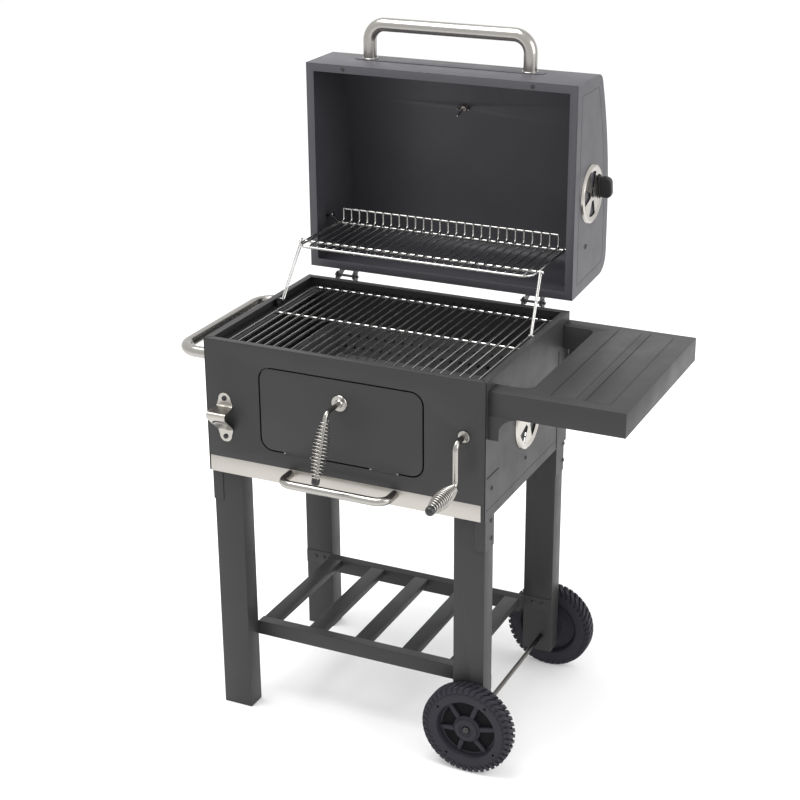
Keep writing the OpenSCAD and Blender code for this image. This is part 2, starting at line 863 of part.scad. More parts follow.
module along_door_rod() {
    a = door_rod[2];
    d = door_rod[3] - a;
    translate(a) rotate([acos(d[2] / norm(d)), 0, 0]) children();
}

module door_grip() {
    color(chrome) along_door_rod() translate([0, 0, 6])
        coil_sleeve(116, 20, 10, 18, 5);
}

module door_grip_cap() {
    color(black) along_door_rod() translate([0, 0, 122]) rotate_extrude()
        polygon([[5, 0], [8, 0], [8.5, 2], [8.5, 9], [6, 14], [0, 14], [0, 10.5],
                 [5, 10.5]]);
}

// ---------- Ash drawer ----------

module ash_drawer() {
    x = leg_x - leg_w - 16;
    color(body_grey) difference() {
        box([-x, x], [sheet, 410], [base_z + gap, strip_top - 6]);
        box([sheet - x, x - sheet], [2 * sheet, 410 - sheet],
            [base_z + gap + sheet, strip_top]);
    }
}

module drawer_front() {
    color(steel) box([2 - half_w + 1, half_w - 9], [0, sheet - 0.1], [base_z, strip_top - gap]);
}

module drawer_handle() {
    color(chrome) translate([0, 0, 602]) rotate([90, 0, 0])
        u_tube(240, 51, 35, 9, 1.2, 9, 1);
}

// ---------- Crank and charcoal lift ----------

module crank() {
    color(chrome) {
        bent_wire(crank_rod, 6);
        rod_y(crank_x, [-4, -gap], crank_z, 10);
    }
}

module crank_grip() {
    color(chrome) translate([crank_x, low_y + 119, grip_z]) rotate([90, 0, 0])
        coil_sleeve(103, 14, 10, 18, 6);
}

module crank_cap() {
    color(black) translate([crank_x, low_y + 16, grip_z]) rotate([90, 0, 0])
        rotate_extrude() polygon([[6, 0], [8, 0], [10, 4], [10, 10], [7, 15], [0, 16],
                                  [0, 6], [6, 6]]);
}

module crank_bearing() {
    color(body_grey) difference() {
        box([crank_x - 12, crank_x + 12], [444, box_d - sheet],
            [crank_z - 12, crank_z + 12]);
        rod_y(crank_x, [440, 456], crank_z, 6 + run);
    }
}

// Slotted plates that slide back and let the tray down, and the nut that moves them
module lift_carriage() {
    nut_y = [200, 236];
    color(body_grey) {
        both_sides() difference() {
            box([plate_x, plate_x + 2], [54, 380], [carriage_z, pin_z + 12]);
            for (y = pin_y) slot_x([plate_x - 1, plate_x + 3], y, pin_z,
                                   y - lift, pin_z - lift, pin_r + gap);
        }
        for (y = [60, 360])
            box([-plate_x, plate_x], [y, y + 14], [carriage_z, carriage_z + 10]);
        difference() {
            union() {
                box([crank_x - 12, crank_x + 12], nut_y, [crank_z - 12, crank_z + 12]);
                box([plate_x, crank_x - 11], nut_y, [pin_z + 6, crank_z + 12]);
            }
            rod_y(crank_x, [190, 250], crank_z, 6 + run);
        }
    }
}

// Sheet with two staggered rows of holes
module pierced(length, height) {
    linear_extrude(sheet) difference() {
        square([length, height]);
        for (row = [0, 1]) for (x = [22 + row * 11 : 22 : length - 16])
            translate([x, 22 + row * 28]) circle(r = 5.2);
    }
}

module charcoal_tray() {
    w = tray_half_w;
    floor_hole = [for (x = [-198 : 36 : 198]) for (y = [tray_y0 + 35 : 42 : tray_y1 - 20])
        [x, y]];
    color(body_grey) {
        translate([-w, tray_y1, tray_z]) rotate([90, 0, 0]) pierced(2 * w, tray_h);
        translate([-w, tray_y0 + sheet, tray_z]) rotate([90, 0, 0]) pierced(2 * w, tray_h);
        both_sides() box([w - sheet, w], [tray_y0, tray_y1], [tray_z, tray_z + tray_h]);
        translate([0, 0, tray_z]) linear_extrude(sheet) difference() {
            translate([-w, tray_y0]) square([2 * w, tray_y1 - tray_y0]);
            for (p = floor_hole) translate(p) circle(r = 6);
        }
        both_sides() for (y = pin_y) rod_x([w - 1, plate_x + 5], y, pin_z, pin_r);
    }
}

// ---------- What is drawn ----------

placed() front_panel();
placed() rear_panel();
placed() left_panel();
placed() right_panel();
placed() firebox_rim();
placed() front_left_leg();
placed() rear_left_leg();
placed() front_right_leg();
placed() rear_right_leg();
placed() corner_brackets();
placed() shelf_front_rail();
placed() shelf_rear_rail();
placed() shelf_slats();
placed() side_table();
placed() table_brackets();
placed() side_handle();
placed() bottle_opener();
placed() drawer_runners();
placed() grate_ledges();
placed() cooking_grate();
placed() tray_guides();
placed() hinge_brackets();
placed() hinge_pins();
placed() rack_foot_pegs();
placed() vent_rivet();
placed() door_hinge_pins();
placed() frame_screws();
placed() axle();
placed() axle_nuts();
placed() front_wheel();
placed() rear_wheel();
placed() lid_shell();
placed() lid_left_side();
placed() lid_right_side();
placed() lid_rim();
placed() lid_handle();
placed() lid_handle_plate();
placed() lid_hinge_leaves();
placed() lid_fasteners();
placed() thermometer();
placed() lid_damper();
placed() lid_damper_knob();
placed() firebox_damper();
placed() firebox_damper_knob();
placed() warming_rack();
placed() rack_legs();
placed() front_door();
placed() door_handle();
placed() door_grip();
placed() door_grip_cap();
placed() ash_drawer();
placed() drawer_front();
placed() drawer_handle();
placed() crank_bearing();
placed() crank();
placed() crank_grip();
placed() crank_cap();
placed() lift_carriage();
placed() charcoal_tray();
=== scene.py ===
import json
import math
from contextlib import contextmanager

import bmesh
import bpy
from bpy.types import NodeSocket, Operator, Panel, PropertyGroup
from bpy.props import FloatProperty, FloatVectorProperty, IntProperty, PointerProperty
from mathutils import Matrix, Vector
from mathutils.geometry import tessellate_polygon


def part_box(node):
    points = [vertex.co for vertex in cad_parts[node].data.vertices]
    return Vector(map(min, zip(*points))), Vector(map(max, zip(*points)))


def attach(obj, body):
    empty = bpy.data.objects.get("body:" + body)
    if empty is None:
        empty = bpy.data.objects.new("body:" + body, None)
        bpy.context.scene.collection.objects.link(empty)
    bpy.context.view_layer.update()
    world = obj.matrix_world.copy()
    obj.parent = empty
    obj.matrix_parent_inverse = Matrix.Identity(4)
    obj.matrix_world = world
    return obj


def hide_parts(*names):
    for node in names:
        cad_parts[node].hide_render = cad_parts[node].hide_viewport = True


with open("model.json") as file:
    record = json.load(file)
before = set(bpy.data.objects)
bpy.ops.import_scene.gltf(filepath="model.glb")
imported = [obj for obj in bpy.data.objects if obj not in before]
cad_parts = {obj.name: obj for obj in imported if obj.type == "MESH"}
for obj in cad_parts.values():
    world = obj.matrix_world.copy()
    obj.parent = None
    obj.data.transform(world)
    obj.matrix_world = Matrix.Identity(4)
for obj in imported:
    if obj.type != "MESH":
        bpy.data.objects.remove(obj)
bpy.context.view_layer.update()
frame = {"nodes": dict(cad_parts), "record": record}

bl_info = {
    "name": "Charcoal grill trolley",
    "version": (1, 0, 0),
    "blender": (4, 5, 0),
    "location": "View3D > Sidebar > Grill",
    "description": "Builds the visible pieces and finishes of a charcoal grill trolley",
    "category": "Add Mesh",
}

NODES = frame["nodes"]
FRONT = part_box("front_panel")
CENTRE_X = (FRONT[0].x + FRONT[1].x) / 2
FRONT_Y = FRONT[0].y
HALF = 317                      # half the firebox's width, in millimetres
WHITE_LEVEL = 1.0               # brightness of the surroundings
CAMERA_PLACE = (1.43143, -3.18136, 2.11730)
CAMERA_AHEAD = (-0.39757, 0.83743, -0.37502)
CAMERA_ROLL = -0.44             # degrees
TYRE_WIDTH = 36
AXLE_BORE = 5.05
CUT_HALF_ANGLE = 22             # half of one vent window, in degrees


def at(x, y, z):
    """A point from millimetres right of the firebox's middle, behind its front and up."""
    return Vector((CENTRE_X + x / 1000, FRONT_Y + y / 1000, z / 1000))


# ---------- Sizes and colours that a user would change ----------


def colour(label, text, default):
    return FloatVectorProperty(name=label, description=text, subtype="COLOR", size=3,
                               min=0, max=1, default=default)


def length(label, text, default, low=0.0, high=1.0):
    return FloatProperty(name=label, description=text, unit="LENGTH", default=default,
                         min=low, max=high, precision=4)


def number(label, text, default, low, high):
    return IntProperty(name=label, description=text, default=default, min=low, max=high)


class GrillFinish(PropertyGroup):
    """Colours of the coats, metals and plastics"""
    body: colour("Body coat", "Powder coat of the firebox, legs and table",
                 (0.033, 0.033, 0.0335))
    inside: colour("Lid coat", "Coat on the lid's shell, inside and out",
                   (0.056, 0.054, 0.062))
    steel: colour("Sheet steel", "Brushed strip, opener and vent discs",
                  (0.43, 0.41, 0.38))
    tube: colour("Handle tube", "Satin tube of the handles", (0.38, 0.366, 0.345))
    wire: colour("Chrome wire", "Cooking bars and warming rack", (0.52, 0.512, 0.50))
    plastic: colour("Black plastic", "Knobs and caps", (0.012, 0.012, 0.013))
    wheel: colour("Wheel plastic", "Blown plastic of the wheels", (0.018, 0.0172, 0.0235))


class GrillSizes(PropertyGroup):
    """Sizes and counts of the small parts"""
    edge: length("Sheet edge", "Rounding of a cut sheet edge", 0.0006, 0.0001, 0.0014)
    fold: length("Folded edge", "Rounding of a folded corner", 0.0022, 0.0005, 0.004)
    lugs: number("Tread lugs", "Lugs round one edge of a wheel", 44, 12, 60)
    ribs: number("Wheel ribs", "Ribs between hub and rim", 6, 3, 9)
    bars: number("Cooking bars", "Bars of the cooking grate", 28, 10, 40)
    rack_wires: number("Rack wires", "Long wires of the warming rack", 27, 10, 40)
    bar: length("Bar radius", "Radius of a cooking bar", 0.0025, 0.001, 0.004)
    door_turns: number("Door grip turns", "Turns of the door's open coil", 17, 6, 24)
    crank_turns: number("Crank grip turns", "Turns of the crank's close coil", 15, 6, 24)


def finish_values():
    return bpy.context.scene.grill_finish


def sizes():
    return bpy.context.scene.grill_sizes


# ---------- Finishes ----------


def feed(tree, node, inputs):
    """Sets a node's inputs, each to a value or from another node's socket."""
    for key, value in inputs.items():
        if isinstance(value, NodeSocket):
            tree.links.new(value, node.inputs[key])
        else:
            node.inputs[key].default_value = value
    return node.outputs


def add_node(tree, kind, inputs, **settings):
    node = tree.nodes.new(kind)
    for key, value in settings.items():
        setattr(node, key, value)
    return feed(tree, node, inputs)


def noise(tree, place, scale, detail, stretch=(1, 1, 1)):
    spot = add_node(tree, "ShaderNodeMapping", {"Vector": place, "Scale": stretch})["Vector"]
    return add_node(tree, "ShaderNodeTexNoise", {"Vector": spot, "Scale": scale,
                                                 "Detail": detail, "Roughness": 0.55})["Fac"]


def spread(tree, value, low, high):
    """The value's middle part, spread between two others."""
    return add_node(tree, "ShaderNodeMapRange", {"Value": value, "From Min": 0.3,
                    "From Max": 0.7, "To Min": low, "To Max": high})["Result"]


def finish(name, tone, metallic=0.0, rough=(0.4, 0.5), vary=0.08, patch=7.0, grain=900.0,
           height=0.00003, stretch=(1, 1, 1), edge=0.0, shine=0.5):
    """A finish with patches of colour, uneven gloss and a fine grain."""
    material = bpy.data.materials.new(name)
    material.use_nodes = True
    tree = material.node_tree
    place = add_node(tree, "ShaderNodeTexCoord", {})["Object"]
    fine = noise(tree, place, grain, 2, stretch)
    both = add_node(tree, "ShaderNodeMath", {
        0: spread(tree, noise(tree, place, patch, 4), 0, 0.6), 1: spread(tree, fine, 0, 0.4)},
        operation="ADD")[0]
    dark, pale = [(*[min(1, c * share) for c in tone], 1) for share in (1 - vary, 1 + vary)]
    mixed = add_node(tree, "ShaderNodeMix", {"A": dark, "B": pale, "Factor": both},
                     data_type="RGBA")["Result"]
    relief = {"Strength": 1.0, "Distance": height, "Height": fine}
    if edge:
        relief["Normal"] = add_node(tree, "ShaderNodeBevel", {"Radius": edge},
                                    samples=4)["Normal"]
    feed(tree, tree.nodes["Principled BSDF"], {
        "Base Color": mixed, "Metallic": metallic, "Specular IOR Level": shine,
        "Roughness": spread(tree, noise(tree, place, patch * 2.3, 5), *rough),
        "Normal": add_node(tree, "ShaderNodeBump", relief)["Normal"]})
    return material


def make_finishes():
    """Every finish, by the name of its slot or of its use."""
    f = finish_values()

    def coat(name, tone, low, high, vary, **rest):
        return finish(name, tone, rough=(low, high), vary=vary, **rest)

    def metal(name, tone, share, low, high, *rest):
        return finish(name, tuple(c * share for c in tone), 1.0, (low, high), *rest)

    return {
        "powder_coat": coat("satin_powder_coat", f.body, 0.40, 0.50, 0.07, grain=1100,
            height=0.00005, edge=0.0012, shine=0.26),
        "lid_coat": coat("heatproof_lid_coat", f.inside, 0.36, 0.46, 0.09, grain=1100,
            height=0.00005, edge=0.001, shine=0.4),
        "stainless_sheet": metal("brushed_stainless", f.steel, 1, 0.26, 0.36, 0.05, 5, 700,
            0.00002, (0.03, 1, 1)),
        "polished_tube": metal("satin_tube_steel", f.tube, 1, 0.19, 0.27, 0.04, 9, 1300,
            0.00001, (0.05, 0.05, 1)),
        "chrome_wire": metal("bright_chrome_wire", f.wire, 1, 0.12, 0.24, 0.10, 30, 600,
            0.00002),
        "plated_rod": metal("nickel_plated_rod", f.tube, 0.92, 0.16, 0.26, 0.08, 40, 900,
            0.00001),
        "dished_disc": metal("spun_vent_steel", f.steel, 1.12, 0.18, 0.30, 0.05, 14, 900,
            0.00001, (1, 1, 0.1)),
        "black_plastic": coat("moulded_black_plastic", f.plastic, 0.30, 0.42, 0.15, patch=30,
            grain=1500, height=0.00004),
        "wheel_plastic": coat("blown_wheel_plastic", f.wheel, 0.42, 0.56, 0.12, patch=18,
            grain=1400, height=0.00008, shine=0.22),
        "dark_steel": coat("matt_fire_enamel", (0.085, 0.085, 0.088), 0.42, 0.60, 0.2,
            patch=22, grain=1200, height=0.00006),
        "hinge_black": coat("black_coated_steel", (0.014, 0.014, 0.015), 0.34, 0.5, 0.15,
            patch=25, height=0.00004),
        "oiled_axle": metal("oiled_axle_steel", f.steel, 0.35, 0.16, 0.28, 0.1, 40, 1200,
            0.00001),
        "zinc_fastener": metal("bright_zinc", (0.32, 0.32, 0.33), 1, 0.22, 0.38, 0.1, 60, 1500,
            0.00001),
        "gauge_steel": metal("spun_gauge_steel", f.steel, 1.05, 0.18, 0.30, 0.05, 20, 1200,
            0.00001),
        # Near-black for the dial's printed marks and dark joints, and also painted shade: the wheel
        # well floors, the door gaps and the pressed lines.
        "recess": coat("near_black_print_joints_and_painted_shade", (0.006, 0.006, 0.007), 0.6, 0.8, 0.2, patch=60,
            height=0.00002, shine=0.1),
        "dial": coat("dial_enamel", (0.62, 0.61, 0.58), 0.25, 0.35, 0.03, patch=60,
            height=0.00001),
        "dial_red": coat("dial_red_enamel", (0.42, 0.03, 0.02), 0.25, 0.35, 0.05, patch=60,
            height=0.00001),
    }


FINISHES = {}


# ---------- Shapes ----------


def linked(name, data):
    """A new object in the scene."""
    obj = bpy.data.objects.new(name, data)
    bpy.context.scene.collection.objects.link(obj)
    return obj


def piece(name, verts, faces, edges=()):
    mesh = bpy.data.meshes.new(name)
    mesh.from_pydata([tuple(v) for v in verts], list(edges), faces)
    return linked(name, mesh)


@contextmanager
def editing(obj):
    """The piece's mesh, opened for a change."""
    form = bmesh.new()
    form.from_mesh(obj.data)
    yield form
    form.to_mesh(obj.data)
    form.free()


def baked(obj):
    """The piece with its modifiers worked into a plain mesh, its faces outwards."""
    graph = bpy.context.evaluated_depsgraph_get()
    mesh = bpy.data.meshes.new_from_object(obj.evaluated_get(graph), depsgraph=graph)
    obj.modifiers.clear()
    obj.data = mesh
    with editing(obj) as form:
        if form.calc_volume(signed=True) < 0:
            bmesh.ops.reverse_faces(form, faces=form.faces)
    return obj


def outwards(obj):
    with editing(obj) as form:
        bmesh.ops.remove_doubles(form, verts=form.verts, dist=1e-6)
        bmesh.ops.recalc_face_normals(form, faces=form.faces)
    return obj


def smooth(obj, angle=40):
    obj.data.shade_smooth()
    obj.data.set_sharp_from_angle(angle=math.radians(angle))
    return obj


def rounded(obj, width, segments=2, angle=30):
    """Bevels the piece's sharp edges."""
    bevel = obj.modifiers.new("rounded edges", "BEVEL")
    bevel.width, bevel.segments = width, segments
    bevel.limit_method, bevel.angle_limit = "ANGLE", math.radians(angle)
    return baked(obj)


def tinted(obj, look):
    obj.data.materials.clear()
    obj.data.materials.append(FINISHES[look])
    return obj


def placed(obj, body, slot, hides=(), look=None):
    """Gives a finished piece its finish and its body, and hides the CAD nodes it stands for."""
    if look != "kept":
        tinted(obj, look or slot)
    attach(obj, body)
    if hides:
        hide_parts(*hides)
    return obj


def joined(name, objs):
    """Several meshes as one piece, each keeping its own finish."""
    form = bmesh.new()
    finishes = []
    for obj in objs:
        start = len(form.faces)
        form.from_mesh(obj.data)
        form.faces.ensure_lookup_table()
        slots = list(obj.data.materials) or [None]
        for m in slots:
            if m not in finishes:
                finishes.append(m)
        for face in form.faces[start:]:
            face.material_index = finishes.index(slots[face.material_index])
    mesh = bpy.data.meshes.new(name)
    form.to_mesh(mesh)
    form.free()
    for m in finishes:
        mesh.materials.append(m)
    for obj in objs:
        bpy.data.objects.remove(obj)
    return linked(name, mesh)


def filleted(points, radius, steps=8):
    """The line through the points, each corner turned into an arc."""
    line = [Vector(points[0])]
    for before, corner, after in zip(points, points[1:], points[2:]):
        a, b = (Vector(before) - corner), (Vector(after) - corner)
        turn = a.angle(b)
        back = min(radius / math.tan(turn / 2), a.length * 0.49, b.length * 0.49)
        a.normalize(), b.normalize()
        p, q = corner + a * back, corner + b * back
        r = back * math.tan(turn / 2)
        centre = corner + (a + b).normalized() * (r / math.sin(turn / 2))
        u, v = p - centre, q - centre
        for i in range(steps + 1):
            line.append(centre + u.slerp(v, i / steps).normalized() * r)
    line.append(Vector(points[-1]))
    return line


def circle(u, v, sides):
    """Directions round a full turn, from u towards v."""
    return [u * math.cos(t) + v * math.sin(t)
            for t in (2 * math.pi * k / sides for k in range(sides))]


def swept(name, line, radius, sides=20, closed=False):
    """A round bar along a line."""
    count = len(line)
    verts, faces = [], []
    normal = None
    for i, p in enumerate(line):
        before = line[i - 1] if i or closed else p
        after = line[(i + 1) % count] if i < count - 1 or closed else p
        ahead = (after - before).normalized()
        if normal is None:
            normal = ahead.orthogonal().normalized()
        normal = (normal - ahead * normal.dot(ahead)).normalized()
        verts += [p + spoke * radius for spoke in circle(normal, ahead.cross(normal), sides)]
    for i in range(count if closed else count - 1):
        a, b = i * sides, (i + 1) % count * sides
        faces += [(a + k, a + (k + 1) % sides, b + (k + 1) % sides, b + k)
                  for k in range(sides)]
    if not closed:
        faces += [tuple(reversed(range(sides))), tuple(range(len(verts) - sides, len(verts)))]
    return smooth(outwards(piece(name, verts, faces)))


def turned(name, profile, centre, axis, sides=64, angle=32):
    """A solid of revolution. The profile is (radius, distance along the axis) in millimetres."""
    axis = Vector(axis).normalized()
    u = axis.orthogonal().normalized()
    v = axis.cross(u)
    verts, faces, rings = [], [], []
    for r, d in profile:
        base = centre + axis * (d / 1000)
        if r < 1e-6:
            rings.append([len(verts)])
            verts.append(base)
            continue
        rings.append(list(range(len(verts), len(verts) + sides)))
        verts += [base + spoke * (r / 1000) for spoke in circle(u, v, sides)]
    pairs = list(zip(rings, rings[1:]))
    if profile[0][0] > 1e-6 and profile[-1][0] > 1e-6:
        pairs.append((rings[-1], rings[0]))
    for a, b in pairs:
        for k in range(sides):
            m = (k + 1) % sides
            corners = dict.fromkeys((a[k % len(a)], a[m % len(a)], b[m % len(b)], b[k % len(b)]))
            if len(corners) > 2:
                faces.append(tuple(corners))
    return smooth(outwards(piece(name, verts, faces)), angle)


def slab(name, rings, thick, to):
    """A flat plate from an outline and its holes. to(u, v, t) places a point."""
    flat = [[Vector((u, v, 0)) for u, v in ring] for ring in rings]
    points = [p for ring in flat for p in ring]
    tris = tessellate_polygon(flat)
    n = len(points)
    verts = [to(p.x, p.y, 0) for p in points] + [to(p.x, p.y, thick) for p in points]
    faces = [tuple(t) for t in tris] + [tuple(i + n for i in reversed(t)) for t in tris]
    start = 0
    for m in map(len, rings):
        faces += [(start + i, start + (i + 1) % m, start + (i + 1) % m + n, start + i + n)
                  for i in range(m)]
        start += m
    obj = piece(name, verts, faces)
    with editing(obj) as form:
        bmesh.ops.dissolve_limit(form, angle_limit=0.01, verts=form.verts, edges=form.edges)
        bmesh.ops.recalc_face_normals(form, faces=form.faces)
    return obj


def prism(name, verts):
    """A solid between two outlines, which are the two halves of the points."""
    n = len(verts) // 2
    ends = [tuple(range(n)), tuple(range(2 * n - 1, n - 1, -1))]
    sides = [(i, (i + 1) % n, (i + 1) % n + n, i + n) for i in range(n)]
    return outwards(piece(name, verts, ends + sides))


def cut_by(obj, cutters, angle):
    """The solid less its cutters, which are used up."""
    for cutter in cutters:
        cut = obj.modifiers.new("cut", "BOOLEAN")
        cut.object, cut.operation, cut.solver = cutter, "DIFFERENCE", "EXACT"
    smooth(baked(obj), angle)
    for cutter in cutters:
        bpy.data.objects.remove(cutter)
    return obj


def arc(cx, cy, r, start, stop, steps=8):
    return [(cx + r * math.cos(math.radians(a)), cy + r * math.sin(math.radians(a)))
            for a in (start + (stop - start) * i / steps for i in range(steps + 1))]


def round_box(w, h, r):
    return (arc(w / 2 - r, h / 2 - r, r, 0, 90) + arc(r - w / 2, h / 2 - r, r, 90, 180)
            + arc(r - w / 2, r - h / 2, r, 180, 270) + arc(w / 2 - r, r - h / 2, r, 270, 360))


def softened(node, width, segments=2):
    """A copy of a CAD node's mesh, merged and with its sharp edges rounded."""
    obj = linked(node + "_form", NODES[node].data.copy())
    for spare in ("custom_normal", "sharp_edge", "sharp_face"):
        if spare in obj.data.attributes:
            obj.data.attributes.remove(obj.data.attributes[spare])
    with editing(obj) as form:
        bmesh.ops.remove_doubles(form, verts=form.verts, dist=1e-5)
        bmesh.ops.dissolve_limit(form, angle_limit=math.radians(0.6), verts=form.verts,
                                 edges=form.edges)
    return smooth(rounded(obj, width, segments), 35)


# ---------- Geometry Nodes ----------


class Recipe:
    """A Geometry Nodes tree with named inputs."""

    def __init__(self, name, inputs):
        self.tree = bpy.data.node_groups.new(name, "GeometryNodeTree")
        face = self.tree.interface
        face.new_socket("Geometry", in_out="INPUT", socket_type="NodeSocketGeometry")
        for label, kind in (inputs | {"Finish": "Material"}).items():
            face.new_socket(label, in_out="INPUT", socket_type="NodeSocket" + kind)
        face.new_socket("Geometry", in_out="OUTPUT", socket_type="NodeSocketGeometry")
        self.given = self.tree.nodes.new("NodeGroupInput").outputs

    def add(self, kind, inputs=None, **settings):
        kind = kind if kind.startswith("Shader") else "GeometryNode" + kind
        return add_node(self.tree, kind, inputs or {}, **settings)[0]

    def tube(self, curve, sides):
        ring = self.add("CurvePrimitiveCircle", {"Resolution": sides,
                                                 "Radius": self.given["Wire Radius"]})
        return self.add("CurveToMesh", {"Curve": curve, "Profile Curve": ring,
                                        "Fill Caps": True})

    def maths(self, operation, a, b=0.0):
        return self.add("ShaderNodeMath", {0: a, 1: b}, operation=operation)

    def ended(self, geometry):
        """Closes the tree: one real mesh with its finish."""
        real = self.add("RealizeInstances", {"Geometry": geometry})
        coated = self.add("SetMaterial", {"Geometry": real, "Material": self.given["Finish"]})
        out = self.tree.nodes.new("NodeGroupOutput")
        self.tree.links.new(coated, out.inputs[0])
        return self.tree


def wires_recipe():
    """Bars along the piece's edges, bent at the corners and repeated in a row."""
    t = Recipe("wires in a row", {
        "Wire Radius": "Float", "Bend Radius": "Float", "Sides": "Int", "Count": "Int",
        "Step": "Vector"})
    path = t.add("MeshToCurve", {"Mesh": t.given["Geometry"]})
    bent = t.add("FilletCurve", {"Curve": path, "Count": 6, "Radius": t.given["Bend Radius"],
                                 "Limit Radius": True}, mode="POLY")
    row = t.add("MeshLine", {"Count": t.given["Count"], "Offset": t.given["Step"]})
    return t.ended(t.add("InstanceOnPoints", {"Points": row,
                                              "Instance": t.tube(bent, t.given["Sides"])}))


def round_recipe():
    """The piece's own shape, repeated round an axis along Y."""
    t = Recipe("repeated round an axle", {
        "Count": "Int", "Centre": "Vector", "First Angle": "Float"})
    row = t.add("MeshLine", {"Count": t.given["Count"], "Start Location": t.given["Centre"],
                             "Offset": (0.0, 0.0, 0.0)})
    share = t.maths("DIVIDE", t.add("InputIndex"), t.given["Count"])
    angle = t.maths("ADD", t.maths("MULTIPLY", share, 2 * math.pi), t.given["First Angle"])
    turn = t.add("ShaderNodeCombineXYZ", {"Y": angle})
    return t.ended(t.add("InstanceOnPoints", {"Points": row, "Rotation": turn,
                                              "Instance": t.given["Geometry"]}))


def coil_recipe():
    """A helix of wire, wider in the middle, along a given direction."""
    t = Recipe("coil of wire", {
        "Turns": "Float", "Length": "Float", "End Radius": "Float", "Middle Radius": "Float",
        "Wire Radius": "Float", "Start": "Vector", "Turn": "Vector"})
    helix = t.add("CurveSpiral", {
        "Resolution": 22, "Rotations": t.given["Turns"], "Height": t.given["Length"],
        "Start Radius": t.given["End Radius"], "End Radius": t.given["End Radius"]})
    wave = t.maths("SINE", t.maths("MULTIPLY", t.add("SplineParameter"), math.pi))
    ratio = t.maths("DIVIDE", t.given["Middle Radius"], t.given["End Radius"])
    wider = t.maths("ADD", t.maths("MULTIPLY", wave, t.maths("SUBTRACT", ratio, 1.0)), 1.0)
    factor = t.add("ShaderNodeCombineXYZ", {"X": wider, "Y": wider, "Z": 1.0})
    scaled = t.add("ShaderNodeVectorMath", {0: t.add("InputPosition"), 1: factor},
                   operation="MULTIPLY")
    line = t.add("SetPosition", {"Geometry": helix, "Position": scaled})
    return t.ended(t.add("Transform", {"Geometry": t.tube(line, 10), "Rotation": t.given["Turn"],
                                       "Translation": t.given["Start"]}))


def heads_recipe():
    """A domed screw head with a hexagonal recess at each of the piece's points."""
    t = Recipe("screw heads", {
        "Head Radius": "Float", "Head Height": "Float", "Facing": "Vector"})
    half = t.maths("MULTIPLY", t.given["Head Height"], 0.5)
    join = t.tree.nodes.new("GeometryNodeJoinGeometry")
    # Skirt, dome and recess: corners, lower and upper share of the radius, lift in half heights.
    for corners, lower, upper, lift in ((20, 1.0, 0.93, 0.0), (20, 0.93, 0.58, 1.0),
                                        (6, 0.5, 0.38, 1.25)):
        low, high = [t.maths("MULTIPLY", t.given["Head Radius"], k) for k in (lower, upper)]
        cone = t.add("MeshCone", {"Vertices": corners, "Depth": half, "Radius Bottom": low,
                                  "Radius Top": high})
        up = t.add("ShaderNodeCombineXYZ", {"Z": t.maths("MULTIPLY", half, lift)})
        moved = t.add("Transform", {"Geometry": cone, "Translation": up})
        t.tree.links.new(moved, join.inputs[0])
    return t.ended(t.add("InstanceOnPoints", {
        "Points": t.given["Geometry"], "Instance": join.outputs[0],
        "Rotation": t.given["Facing"]}))


RECIPES = {}


def grown(obj, recipe, look, **values):
    """Runs a tree on a piece and keeps the plain mesh. Input names have no spaces here."""
    tree = RECIPES[recipe]
    mod = obj.modifiers.new(tree.name, "NODES")
    mod.node_group = tree
    values["Finish"] = FINISHES[look]
    for item in tree.interface.items_tree:
        if item.in_out == "INPUT" and item.name.replace(" ", "") in values:
            mod[item.identifier] = values[item.name.replace(" ", "")]
    return smooth(baked(obj))


def path(name, *lines):
    """A piece of edges only, each line a list of points."""
    verts, edges = [], []
    for line in lines:
        edges += [(len(verts) + i, len(verts) + i + 1) for i in range(len(line) - 1)]
        verts += line
    return piece(name, verts, [], edges)


def wires(name, lines, radius, bend=0.0, sides=10, count=1, step=(0.0, 0.0, 0.0),
          look="chrome_wire"):
    return grown(path(name, *lines), "wires", look, WireRadius=radius, BendRadius=bend,
                 Sides=sides, Count=count, Step=step)


def screw_heads(spots, radius, height, facing):
    return grown(piece("heads", spots, []), "heads", "hinge_black", HeadRadius=radius,
                 HeadHeight=height, Facing=facing)


# ---------- Wheels ----------


def wheel_lug(name, centre, side, inner):
    """One slanted tread lug that wraps the shoulder; inner is true on the half by the leg."""
    outline = [(86.8, 1.2), (92, 0.7), (97.4, 1.7), (100.2, 4.2), (100.9, 8), (100.9, 17.4),
               (95.5, 17.4), (93, 7), (88, 3.4)]
    half = math.radians(360 / sizes().lugs * 0.32)
    verts = []
    for edge in (-1, 1):
        for r, d in outline:
            slant = math.radians(7.0) * (d / 17) * (-1 if inner else 1)
            a = edge * half * (1.0 if r > 94 else 0.86) + slant
            deep = TYRE_WIDTH - d if inner else d
            verts.append(Vector((r * math.sin(a), side * (deep - TYRE_WIDTH / 2),
                                 r * math.cos(a))) / 1000)
    return grown(rounded(prism(name, verts), 0.0005, 1), "round", "wheel_plastic",
                 Count=sizes().lugs, Centre=centre,
                 FirstAngle=math.radians(360 / sizes().lugs / 2) if inner else 0.0)


